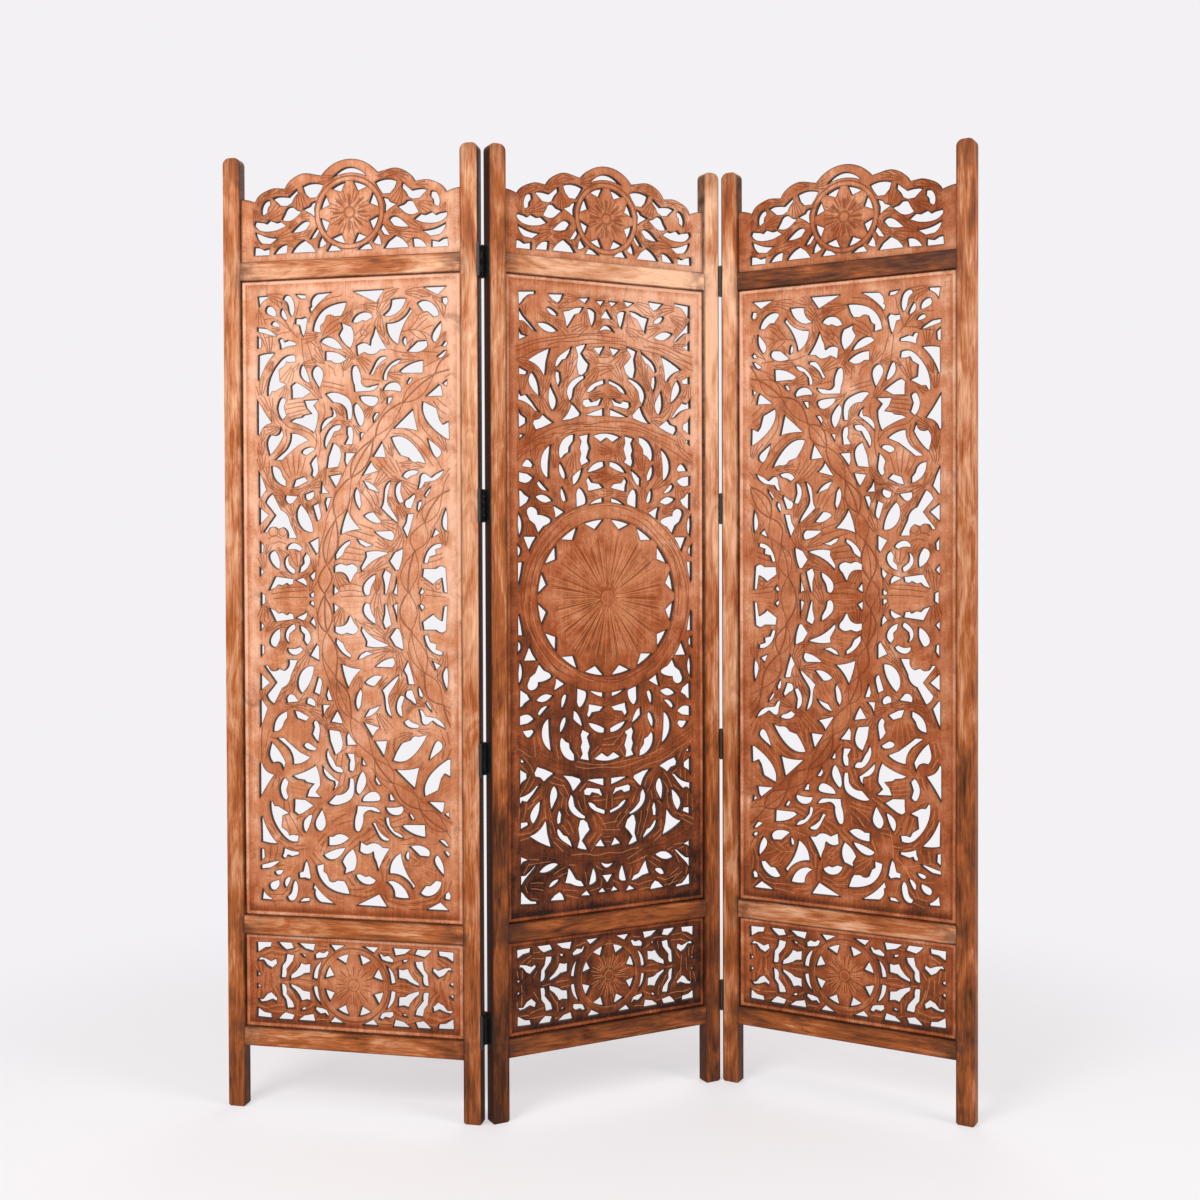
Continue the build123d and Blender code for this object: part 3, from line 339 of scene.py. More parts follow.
def front_outlines(node, leaf):
    """The closed outlines, in the leaf's x and z millimetres, of a board's flat front face."""
    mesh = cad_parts[node].data
    points = leaf.from_row([v.co for v in mesh.vertices])
    names = {}
    merged = [names.setdefault((round(x * MERGE), round(z * MERGE)), i)
              for i, (x, _, z) in enumerate(points)]
    front = [[merged[c] for c in face.vertices] for face in mesh.polygons
             if all(abs(points[c][1] + HALF_BOARD) <= OFF_PLANE for c in face.vertices)]
    follows = {}
    for a, b in lone_edges(front):
        follows.setdefault(a, []).append(b)
    outlines = []
    while follows:
        start = here = next(iter(follows))
        chain = [start]
        while True:
            there = follows[here].pop()
            if not follows[here]:
                del follows[here]
            if there == start or there not in follows:
                break
            chain.append(there)
            here = there
        if len(chain) > 2:
            outlines.append(np.array([(points[i][0], points[i][2]) for i in chain]))
    return sorted(outlines, key=lambda o: -abs(area(o)))


def area(outline):
    x, z = outline.T
    return 0.5 * float(np.sum(x * np.roll(z, -1) - z * np.roll(x, -1)))


def spaced(line, step, closed=False):
    """The line with no run longer than step."""
    line = np.asarray(line, float)
    ends = np.roll(line, -1, 0) if closed else line[1:]
    out = []
    for a, b in zip(line, ends):
        n = max(1, int(math.ceil(np.hypot(*(b - a)) / step)))
        out += [a + (b - a) * k / n for k in range(n)]
    if not closed:
        out.append(line[-1])
    return np.array(out)


def smooth(line, step):
    """A smooth curve through a line's points."""
    p = np.array(line, float)
    q = np.vstack([2 * p[0] - p[1], p, 2 * p[-1] - p[-2]])
    out = []
    for i in range(1, len(q) - 2):
        a, b, c, d = q[i - 1:i + 3]
        n = max(1, int(math.ceil(np.hypot(*(c - b)) / step)))
        for k in range(n):
            t = k / n
            out.append(0.5 * (2 * b + (c - a) * t + (2 * a - 5 * b + 4 * c - d) * t * t
                              + (3 * b - a - 3 * c + d) * t ** 3))
    out.append(q[-2])
    return np.array(out)


def within(points, outline):
    """Which points lie inside a closed outline."""
    inside = np.zeros(len(points), bool)
    low, high = outline.min(0), outline.max(0)
    near = np.flatnonzero(((points >= low) & (points <= high)).all(1))
    if not len(near):
        return inside
    x, z = points[near, 0][:, None], points[near, 1][:, None]
    x0, z0 = outline.T
    x1, z1 = np.roll(x0, -1), np.roll(z0, -1)
    crosses = (z0 > z) != (z1 > z)
    rise = np.where(z1 == z0, TINY, z1 - z0)
    inside[near] = (crosses & (x < (x1 - x0) * (z - z0) / rise + x0)).sum(1) % 2 == 1
    return inside


def in_wood(points, edge, holes):
    """Which points lie on a board, clear of its openings."""
    inside = within(points, edge)
    for hole in holes:
        inside &= ~within(points, hole)
    return inside


def distance(points, centre):
    return np.hypot(*(points - np.asarray(centre)).T)


def tree_of(points):
    """A tree that finds the nearest of some flat points."""
    tree = kdtree.KDTree(len(points))
    for i, p in enumerate(points):
        tree.insert((p[0], p[1], 0), i)
    tree.balance()
    return tree


def room(tree, point):
    """How far a point is from a tree's nearest point."""
    return tree.find((point[0], point[1], 0))[2]


# ---------------- the carver's lines
DARK, BARE = "dark", "bare"      # cuts that keep the stain, and cuts through it
AGED_BELOW = 720                 # mm above the floor; lower cuts show bare wood
STRANDS = (((0.95, 0.12), (-0.95, -0.1)), ((1.0, 0.0), (-1.0, 0.0), (0.15, 0.0)))     # bulge and lean
BAND_MARGIN = 4                  # mm that strands keep inside the edges of their band
STRAND_STEP, FAN_STEP = 3, 4     # mm between the points of a strand and of a fan's line


def at(centre, radius, angle):
    return centre[0] + radius * math.cos(angle), centre[1] + radius * math.sin(angle)


def arc(centre, radius, start, end, wave=0.0, turns=0.0, shift=0.0, step=3.0):
    """A round line, which may sway to and fro, between two angles in degrees."""
    n = max(4, int(abs(math.radians(end - start)) * radius / step))
    return np.array([at(centre, radius + wave * math.sin(2 * math.pi * (turns * k / n + shift)),
                        math.radians(start + (end - start) * k / n)) for k in range(n + 1)])


def circle(centre, radius):
    return arc(centre, radius, 0, 360, step=1.2)


def braid(centre, low, high, start, end, period, seed):
    """Dark strands that part and meet along a round band, each stretch a little different."""
    rng = random.Random(seed)
    middle, half = (low + high) / 2, (high - low) / 2 - BAND_MARGIN
    length = math.radians(end - start) * middle
    knots = [0.0]
    while knots[-1] < length:
        knots.append(knots[-1] + period * rng.uniform(0.75, 1.25))
    lines = []
    for number, (a, b) in enumerate(zip(knots, knots[1:])):
        steps = int((b - a) / STRAND_STEP)
        for bulge, lean in STRANDS[number % 2]:
            swing = half * bulge * rng.uniform(0.7, 1.0)
            sag = rng.uniform(-0.12, 0.12)
            line = []
            for k in range(steps + 1):
                t = k / steps
                sway = swing * math.sin(math.pi * (t + sag * math.sin(math.pi * t)))
                line.append(at(centre, middle + sway + half * lean * (1 - 2 * t),
                               math.radians(start) + (a + (b - a) * t) / middle))
            lines.append(np.array(line))
            if rng.random() < 0.6:
                beside = np.array(line[1:-1])
                lines.append(beside + (beside - centre) / middle * rng.choice((-1.7, 1.7)))
        # a strand along each side, between two knots
        for side in (-1, 1):
            if rng.random() < 0.75:
                radius, first = middle + side * half * 1.02, rng.uniform(0.1, 0.4)
                span = [math.degrees((a + (b - a) * t) / middle) + start
                        for t in (first, first + rng.uniform(0.5, 0.9))]
                lines.append(arc(centre, radius, *span, wave=1.2, turns=1, shift=rng.random()))
    return [(DARK, line) for line in lines]


def fan(centre, angle, spread, near, far, count, rng, kind=BARE):
    """Lines that open out from a centre, of uneven lengths."""
    out = []
    for j in range(count):
        jitter = rng.uniform(-0.25, 0.25) * spread / count
        way = math.radians(angle + spread * ((j + 0.5) / count - 0.5) + jitter)
        reach = far * (1 - 0.16 * abs(2 * (j + 0.5) / count - 1) ** 2) * rng.uniform(0.86, 1.0)
        start = min(near * rng.uniform(0.9, 1.7), reach * 0.6)
        bend = rng.uniform(-0.02, 0.02)
        steps = int((reach - start) / FAN_STEP) + 1
        line = [at(centre, start + (reach - start) * t, way + bend * t)
                for t in (k / steps for k in range(steps + 1))]
        out.append((kind, np.array(line)))
    return out


def rosette(centre, count, first, boss, valley, tip, lines, seed):
    """A round flower: a boss, a dark groove with bare edges between petals and a fan in each petal."""
    rng = random.Random(seed)
    out = [(BARE, circle(centre, boss)), (DARK, circle(centre, boss + 2.2))]
    for k in range(count):
        angle = first + 360 * k / count
        out += fan(centre, angle, 230 / count, boss * 1.7, tip, lines, rng)
        out += fan(centre, angle + rng.uniform(-60, 60) / count, 1.0, boss * 2.4, tip * 0.8, 1, rng, DARK)
        for off, kind, near in ((-38, BARE, 1.25), (-8, DARK, 1.6), (8, DARK, 1.6), (38, BARE, 1.25)):
            out += fan(centre, angle + (180 + off) / count, 1.0, boss * near, valley, 1, rng, kind)
    return out


def aged(height):
    """Cuts low on a board are cut through a darker stain, and show as bare wood."""
    return BARE if height < AGED_BELOW else DARK


# ---------------- leaves between the drawn lines
LEAF_PITCH = 3.0                 # mm between the places tried for a leaf's middle
LEAF_MARGIN = 7                  # mm that leaves keep inside the outermost openings
BROAD, BROADEST = 6.5, 14.0      # least and greatest half width of a broad leaf, mm
DRAWN_CLEAR = 8                  # mm from a drawn line within which a leaf gets no veins of its own
VEIN_STEP = 2.5


def veins_on(here, wide, beside, rng):
    """A leaf's veins: side by side on a low leaf and fanned on a high one."""
    _, axes = np.linalg.eigh(np.cov((beside - beside.mean(0)).T))
    along = axes[:, 1] * (1 if rng.random() < 0.5 else -1)
    across = np.array((-along[1], along[0]))
    count = 2 if wide < 7.5 else 3 if wide < 10 else 4
    kind = aged(here[1])
    fanned, pinch = (0.75, 0.3) if kind == DARK else (0.3, 0.75)
    root = here - along * wide * rng.uniform(1.0, 1.5)
    sway = rng.uniform(-0.006, 0.006)
    out = []
    for k in range(count):
        lean = fanned * (k - (count - 1) / 2) / count + rng.uniform(-0.04, 0.04)
        off = (k - (count - 1) / 2) * 0.46 * wide * pinch
        places = np.arange(wide * rng.uniform(0.0, 0.5), wide * rng.uniform(2.0, 3.1), VEIN_STEP)
        line = [root + along * t + across * (off + lean * t + sway * t * t) for t in places]
        out.append((kind if k % 2 else DARK, np.array(line)))
    return out


def leaf_veins(edge, holes, rims, drawn, plain, seed):
    """The broad leaves' middles and half widths, and veins where no drawn line crosses a leaf."""
    rng = random.Random(seed)
    lines = tree_of(np.vstack([line for _, line in drawn]))
    low = np.min([h.min(0) for h in holes], 0) + LEAF_MARGIN
    high = np.max([h.max(0) for h in holes], 0) - LEAF_MARGIN
    grid = np.array([(x, z) for x in np.arange(low[0], high[0], LEAF_PITCH)
                     for z in np.arange(low[1], high[1], LEAF_PITCH)])
    wood = in_wood(grid, edge, holes)
    for centre, inner, outer in plain:
        away = distance(grid, centre)
        wood &= (away < inner) | (away > outer)
    grid = grid[wood]
    widths = np.array([room(rims, p) for p in grid])
    out, taken = [], []
    for i in np.argsort(-widths):
        here, wide = grid[i], widths[i]
        if wide < BROAD:
            break
        if any(np.hypot(*(here - p)) < 1.5 * (w + wide) / 2 + 5 for p, w in taken):
            continue
        wide = min(wide, BROADEST)
        taken.append((here, wide))
        if room(lines, here) < DRAWN_CLEAR or rng.random() < 0.2:
            continue
        beside = grid[(distance(grid, here) < 2.3 * wide) & (widths > 2.5)]
        if len(beside) >= 8:
            out += veins_on(here, wide, beside, rng)
    return taken, out


# ---------------- a pierced board, carved
EDGE_STEP, HOLE_STEP, RIM_STEP = 12.0, 3.5, 0.6     # mm between points along the outlines
CUT_CLEAR = 1.6                  # mm that a cut keeps clear of the openings
CUT_STEP = 0.4                   # mm between the points that a cut's depth is measured from
FILLER_PITCH = 7.0               # mm between the filler points of a face
FILLER_CLEAR = 3.0               # mm that they keep clear of the openings
RING_REACHES = (0.45, 1.0, 2.4)  # rings beside an opening, in widths of its eased edge
MARGIN = 1.5                     # mm round the openings that still counts as the pierced part
LEAST_FACE = 1000                # mm2; a smaller outline is not a board's
SAME_POINT = 0.02                # mm within which points are one in the triangles
WEAR, SAG = 0.55, 0.22           # mm that the openings' edges and the wood beside them are worn down
SAG_REACH = 5.0                  # mm from an opening to where that wear ends
SHARP = math.radians(38)         # edges sharper than this are not shaded smooth

# The raised lip round a board: how far in from its outer side, and how high above the board, mm
LIP = ((0.0, 0), (0.5, 1.1), (1.4, 1.7), (2.8, 2.0), (5.2, 1.9), (6.6, 1.5), (7.5, 0.8), (8.0, 0))
BESIDE_LIP = (12.0, 18.0)        # loose points are also laid this far in
CREASE_SHADE_MIDDLE, CREASE_SHADE_HALF = 9.0, 4.5     # the painted shade in the crease inside the lip: how far in, and half its width
FOOT_START, FOOT_REACH = 7, 17   # the darkening above the lip's lower side: where it starts and how far it goes
BARE_FOOT = 16                   # mm that it goes up on a board without a lip


class Face:
    """The points of a board's face, and the runs between them that its triangles keep."""

    def __init__(self, rims):
        self.points, self.runs, self.rims = [], [], rims

    def keep(self, line, closed=False):
        """Adds a line whose runs stay edges of the triangles."""
        first, last = len(self.points), len(self.points) + len(line) - 1
        self.points.extend(map(tuple, line))
        self.runs.extend((i, i + 1) for i in range(first, last))
        if closed:
            self.runs.append((last, first))

    def scatter(self, points, clear):
        """Adds loose points that are clear of the openings' rims."""
        self.points.extend(tuple(p) for p in points if room(self.rims, p) > clear)

    def lay_lip(self, lip):
        """Squares that follow the raised lip."""
        (low_x, low_z), (high_x, high_z) = lip.min(0), lip.max(0)
        for inward in [place for place, _ in LIP] + [*BESIDE_LIP]:
            x0, z0, x1, z1 = low_x + inward, low_z + inward, high_x - inward, high_z - inward
            square = spaced([(x0, z0), (x1, z0), (x1, z1), (x0, z1)], EDGE_STEP, True)
            if inward in BESIDE_LIP:
                self.scatter(square, 2.0)
            else:
                self.keep(square, True)

    def lay_rings(self, hole, ease):
        """Rings beside an opening, where its eased edge and its burnt rim end."""
        loop = spaced(hole, HOLE_STEP, True)
        out = square_to(loop, True) * (-1 if area(hole) < 0 else 1)
        for reach in (ease * share for share in RING_REACHES):
            self.scatter(loop + out * reach, reach * 0.8)

    def lay_cuts(self, lines, holes, half_cut):
        """The cuts' middles and sides; gives points close along the cuts of each kind."""
        cuts = {DARK: [], BARE: []}
        low, high = pierced_part(holes)
        for kind, line in lines:
            for run in self.clear_runs(line, low, high):
                out = square_to(run)
                self.keep(run)
                for side in (1, -1):
                    self.scatter(run + out * half_cut * side, CUT_STEP)
                cuts[kind].append(spaced(run, CUT_STEP))
        return cuts

    def clear_runs(self, line, low, high):
        """The runs of a line that keep clear of the openings and inside the pierced part."""
        runs, run = [], []
        inside = ((line >= low) & (line <= high)).all(1)
        for p, here in zip([*line, None], [*inside, False]):
            if here and room(self.rims, p) >= CUT_CLEAR:
                run.append(p)
                continue
            if len(run) > 2:
                runs.append(np.array(run))
            run = []
        return runs

    def lay_filler(self, edge, rng):
        """Loose points all over, so that the face shades evenly."""
        low, high = edge.min(0), edge.max(0)
        across, up = ((high - low) / FILLER_PITCH).astype(int)
        for i in range(across):
            for j in range(up):
                p = (low[0] + (i + 0.3 + 0.4 * rng.random()) * FILLER_PITCH,
                     low[1] + (j + 0.3 + 0.4 * rng.random()) * FILLER_PITCH)
                self.scatter([p], FILLER_CLEAR)

    def triangles(self, edge, holes):
        """The face's points and its triangles, all turned the same way."""
        points = [Vector(p) for p in self.points]
        verts, _, faces, *_ = delaunay_2d_cdt(points, self.runs, [], 0, SAME_POINT)
        flat = np.array([v[:] for v in verts], float)
        tris = np.array([f for f in faces if len(f) == 3], int)
        tris = tris[in_wood(flat[tris].mean(1), edge, holes)]
        a, b, c = (flat[tris[:, k]] for k in range(3))
        turned = (b[:, 0] - a[:, 0]) * (c[:, 1] - a[:, 1]) - (b[:, 1] - a[:, 1]) * (c[:, 0] - a[:, 0])
        tris[turned < 0] = tris[turned < 0][:, ::-1]
        return flat, tris


def square_to(line, closed=False):
    """Unit vectors square to a line, at each of its points."""
    along = np.roll(line, -1, 0) - np.roll(line, 1, 0) if closed else np.gradient(line, axis=0)
    along /= np.maximum(np.hypot(*along.T)[:, None], TINY)
    return np.stack([along[:, 1], -along[:, 0]], 1)


def pierced_part(holes):
    """The low and high corners of the part of a board that has openings, and a little round it."""
    every = np.vstack(holes)
    return every.min(0) - MARGIN, every.max(0) + MARGIN


def lip_shades(flat, lip, level):
    """The face's height with its raised lip, the lip's painted highlight, and the painted shade in the crease
    inside the lip and in the gap outside it, with a darkening along the foot.
    """
    low, high = lip.min(0), lip.max(0)
    inward = np.minimum(flat - low, high - flat).min(1)
    rise = np.interp(inward, *zip(*LIP))
    on_lip = inward > -0.01
    level = np.where(on_lip & (inward < LIP[-1][0] + 0.01), HALF_BOARD + rise, level)
    level = np.where(~on_lip, HALF_BOARD, level)
    # painted shade in the crease inside the lip
    crease = np.clip(1 - np.abs(inward - CREASE_SHADE_MIDDLE) / CREASE_SHADE_HALF, 0, 1) * 0.7
    # darker along the foot, above the lip's lower side
    foot = np.clip(1 - (flat[:, 1] - low[1] - FOOT_START) / FOOT_REACH, 0, 1)
    crease += foot * (inward > FOOT_START) * 0.9
    # painted shade of the gap at the lip's outer side
    crease = np.where(inward < 1.0, 1.0 - np.clip(inward, 0, 1), crease)
    # the lip's shade returned here is a painted highlight on the bead
    return level, np.clip(np.minimum(inward, 8.5 - inward) / 2, 0, 1), np.clip(crease, 0, 1)


def leafy_shade(flat, leaves, plain, holes, rng):
    """How leafy the wood is: the leaves, flowers and bands keep more stain than the ground."""
    low, high = pierced_part(holes)
    pierced = ((flat > low) & (flat < high)).all(1)
    leafy = np.zeros(len(flat))
    for middle, wide in leaves:
        strength = rng.uniform(0.2, 1.0)
        leafy = np.maximum(leafy, strength * np.exp(-(distance(flat, middle) / (1.5 * wide)) ** 4))
    for centre, inner, outer in plain:
        if inner:
            away = distance(flat, centre)
            band = np.clip((np.minimum(away - inner, outer - away) + 2) / 3, 0, 1) * pierced
            leafy = np.maximum(leafy, 0.6 * band)
    return leafy


def board_mesh(name, leaf, flat, tris, level, shades, materials):
    """One closed mesh: front, back and the walls between, with the shades at its points."""
    used = np.unique(tris)
    number = -np.ones(len(flat), int)
    number[used] = np.arange(len(used))
    tris = number[tris]
    flat, level = flat[used], level[used]
    count = len(flat)
    front, back = (np.stack([flat[:, 0], depth, flat[:, 1]], 1) for depth in (-level, level))
    sides = [(p, p + count, q + count, q) for p, q in lone_edges(tris.tolist())]
    mesh = bpy.data.meshes.new(name)
    mesh.from_pydata(leaf.to_row(np.vstack([front, back])).tolist(), [],
                     tris.tolist() + (tris[:, ::-1] + count).tolist() + sides)
    for label, values in shades.items():
        layer = mesh.attributes.new(label, "FLOAT", "POINT")
        layer.data.foreach_set("value", np.tile(values[used], 2).astype(np.float32))
    for material in materials:
        mesh.materials.append(material)
    marks = np.zeros(len(mesh.polygons), np.int32)
    marks[2 * len(tris):] = 1
    mesh.polygons.foreach_set("material_index", marks)
    mesh.polygons.foreach_set("use_smooth", np.ones(len(marks), bool))
    mesh.set_sharp_from_angle(angle=SHARP)
    mesh.update()
    return mesh


def carve(name, node, leaf, lines, look, materials, seed, plain, lipped):
    """A pierced and carved board: both faces with the carver's cuts, and the sawn walls between."""
    edge, *holes = front_outlines(node, leaf)
    if lipped:
        lip, _, *holes = holes
    if abs(area(edge)) < LEAST_FACE or not holes:
        raise RuntimeError(f"{node}: its front face was not found")
    rims = tree_of(np.vstack([spaced(h, RIM_STEP, True) for h in (holes if lipped else [edge] + holes)]))
    leaves, veins = leaf_veins(edge, holes, rims, lines, plain, seed)
    ease, half_cut, cut_depth = look.eased / MM, look.cut_width / MM / 2, look.cut_depth / MM

    face = Face(rims)
    border, rings = spaced(edge, EDGE_STEP, True), [spaced(h, HOLE_STEP, True) for h in holes]
    for loop in [border] + rings:
        face.keep(loop, True)
    if lipped:
        face.lay_lip(lip)
    for hole in holes:
        face.lay_rings(hole, ease)
    cuts = face.lay_cuts(lines + veins, holes, half_cut)
    rng = random.Random(seed)
    face.lay_filler(edge, rng)
    flat, tris = face.triangles(border, rings)

    shades = {}
    for kind, found in cuts.items():
        tree = tree_of(np.vstack(found)) if found else None
        shades[kind] = np.array([max(0.0, 1 - room(tree, p) / half_cut) if tree else 0.0 for p in flat])
    rim = np.array([room(rims, p) for p in flat])
    level = HALF_BOARD - WEAR * np.clip(1 - rim / ease, 0, 1) ** 2
    level -= cut_depth * np.maximum(shades[DARK], shades[BARE])
    level -= SAG * np.clip(1 - rim / SAG_REACH, 0, 1) ** 2
    if lipped:
        # the lip's painted highlight, and the painted shade in the crease and gap beside the lip with the
        # darker foot
        level, shades["lip"], shades["crease"] = lip_shades(flat, lip, level)
    else:
        shades["lip"] = np.zeros(len(flat))
        # a board without a lip only gets darker towards its foot
        shades["crease"] = np.clip(1 - (flat[:, 1] - flat[:, 1].min()) / BARE_FOOT, 0, 1) * 0.5
    shades["rim"] = rim
    shades["leafy"] = leafy_shade(flat, leaves, plain, holes, rng)

    board = bpy.data.objects.new(name, board_mesh(name, leaf, flat, tris, level, shades, materials))
    bpy.context.scene.collection.objects.link(board)
    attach(board, f"{leaf.name}_leaf")
    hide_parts(node)


# ---------------- finishes
DRY = 0.1                        # specular level of dry wood
HINGE_SIDES = {"left": (1,), "centre": (-1, 1), "right": (-1,)}     # sides of a leaf that meet another

# How the wood pales upwards, partly faded and partly painted light from above: the heights between which it
# does, and how much more at a leaf's right
FADE_AND_LIGHT_HEIGHTS = {"left": (-0.35, 1.25), "centre": (0.32, 1.66), "right": (0.0, 1.40)}
FADE_AND_LIGHT_LEAN = {"left": 0.03, "centre": 0.18, "right": -0.04}
CROWN_HEIGHTS = (1.59, 1.68)     # between these the very top is less pale
PLANK_TONE = {                   # each plank's own shade against its leaf's
    "left": {"stile_left": -0.15, "stile_right": -0.14,
             "rail_bottom": -0.02, "rail_middle": -0.11, "rail_top": -0.13},
    "centre": {"stile_left": 0.01, "stile_right": 0.08,
               "rail_bottom": 0.03, "rail_middle": 0.08, "rail_top": 0.11},
    "right": {"stile_left": 0.06, "stile_right": -0.05,
              "rail_bottom": -0.03, "rail_middle": 0.22, "rail_top": -0.45},
}
PLANK_SEED = {"stile_left": 1, "stile_right": 2, "rail_bottom": 3, "rail_middle": 4, "rail_top": 5}

# Where the frame is stained, and where shade is painted along its edges, in metres on a leaf's axes
RAIL_MIDDLES = {"rail_bottom": 0.138, "rail_middle": 0.354, "rail_top": 1.610}
JOINT_REACH = (0.018, 0.060)     # up and down from a rail's middle
INNER_EDGE = (0.2185, 0.2235)    # across, from a stile's side that meets the boards: dark stain and painted shade of the gap beside their lips
JOINT_WIDTH = (0.220, 0.243)     # across, over a stile
OUTER_EDGE = (0.2505, 0.2530)    # across, at a stile's side that meets another leaf: dark stain and painted shade of the gap between leaves
RAIL_EDGE = (0.0145, 0.0180)     # up and down from a rail's middle to its edges: dark stain and painted shade where the boards meet it
RAIL_END = (0.165, 0.225)        # across, at a rail's end
STILE_TOP = (1.765, 1.83)
STILE_FOOT = (0.0, 0.05)


def wood_colours(darkest, colour, faded_and_lit, warmth):
    """A wood's darkest, brown, stained, warm and palest colours; the palest is where it is faded and lit by
    painted light.
    """
    brown = [d + (c - d) * 0.38 for c, d in zip(colour, darkest)]
    warm = [c + (f - c) * share for f, c, share in zip(faded_and_lit, colour, warmth)]
    return darkest, brown, colour, warm, faded_and_lit


def tones(tone, colours):
    """A colour from the darkest to the palest of a few, evenly spaced."""
    stops = [(k / (len(colours) - 1), rgba(c)) for k, c in enumerate(colours)]
    return tone.finish.node("ShaderNodeValToRGB", {"stops": stops}, tone.clamp())


def paleness_from_fade_and_light(x, z, fade_and_light, name):
    """How pale a leaf's wood is, partly faded and partly painted light and sheen from above: least at its
    foot, most above its middle, and less at its very top.
    """
    foot, top = getattr(fade_and_light, f"{name}_foot"), getattr(fade_and_light, f"{name}_top")
    up = z.rise(*FADE_AND_LIGHT_HEIGHTS[name], smooth=True)
    crown = z.rise(*CROWN_HEIGHTS, 0.0, 0.17, smooth=True)
    return foot + (top - foot) * up + up * x * (FADE_AND_LIGHT_LEAN[name] / 0.25) - crown


def frame_wood(leaf, piece, look, fade_and_light, seed):
    """Oiled hardwood: wavy streaks along the grain, dark smears beside the joints, painted shade along the
    edges that meet the boards and the other leaves, and paler upwards, partly faded and partly painted light.
    """
    made = Finish(f"{leaf.name}_{piece}_wood", Specular_IOR_Level=DRY)
    upright = piece.startswith("stile")
    place = made.on_leaf(leaf)
    x, z = made.parts(place, "XZ")
    shifted = made.vector("ADD", place, (seed * 0.37, seed * 0.21, seed * 0.13))
    fine_grain, long_grain = 1 / look.grain_width, 0.07 / look.grain_width
    stretch = (fine_grain, fine_grain, long_grain) if upright else (long_grain, fine_grain, fine_grain)
    cloud = (26.0, 26.0, 7.0) if upright else (7.0, 26.0, 26.0)
    along = made.vector("MULTIPLY", shifted, stretch)
    streaks = made.noise(along, 1.0, 5.0, 0.62, 1.0)
    fine = made.noise(made.vector("MULTIPLY", along, (3.2, 3.2, 2.2)), 1.0, 3.0, 0.6, 0.6)
    smoke = made.noise(made.vector("MULTIPLY", shifted, cloud), 1.0, 4.0, 0.62, 1.2)
    blotch = made.noise(shifted, 5.0, 3.0, 0.6)
    patch = made.noise(shifted, 34.0, 3.0, 0.6, 0.5)
    tone = paleness_from_fade_and_light(x, z, fade_and_light, leaf.name) + PLANK_TONE[leaf.name][piece] - 0.02
    tone = tone + streaks.swing(0.85) + smoke.swing(1.15) + blotch.swing(0.7) + fine.swing(0.5)
    colours = wood_colours(look.streak, look.colour, look.faded_and_lit, (0.48, 0.46, 0.42))
    pores = fine.ramp((0.56, 0.0), (0.70, 1.0))
    shade = made.mix(pores * 0.35, tones(tone, colours), rgba(colours[1]))

    across = abs(x)
    near = patch.ramp((0.38, 0.0), (0.56, 1.0))
    if upright:
        joints = [abs(z - middle).rise(*JOINT_REACH, 1.0, 0.0, smooth=True)
                  for middle in RAIL_MIDDLES.values()]
        joint = (joints[0] + joints[1] + joints[2] * 0.6).clamp()
        # dark stain and painted shade of the gap between the stile's inner side and the board's lip, in
        # patches
        stain = (across.rise(*INNER_EDGE, 1.0, 0.0) * (0.45 + patch * 0.9) * (1 - joint * 0.4)).clamp()
        smear = joint * across.rise(*JOINT_WIDTH, 1.0, 0.0) * near
        ends = z.rise(*STILE_TOP, 0.0, 0.45) + z.rise(*STILE_FOOT, 0.45, 0.0)
        smear = (smear + ends * (0.4 + patch)).clamp()
        # dark stain and painted shade of the gap where the leaf meets another
        for side in HINGE_SIDES[leaf.name]:
            stain = (stain + (x * side).rise(*OUTER_EDGE)).clamp()
    else:
        # dark stain and painted shade at the rail's edges, where the boards meet it
        stain = abs(z - RAIL_MIDDLES[piece]).rise(*RAIL_EDGE, 0.0, 0.8) * (0.35 + patch)
        smear = across.rise(*RAIL_END) * near
    shade = made.mix((smear * look.smear).clamp(), shade, dimmed(look.streak, 0.9, 0.01))
    shade = made.mix(stain, shade, dimmed(look.streak, 0.7 if upright else 0.4))
    rough = streaks.ramp((0.3, 0.40), (0.7, 0.58))
    return made.finish(shade, rough, (1 - pores * 0.5) + streaks * 0.6, 0.00022)


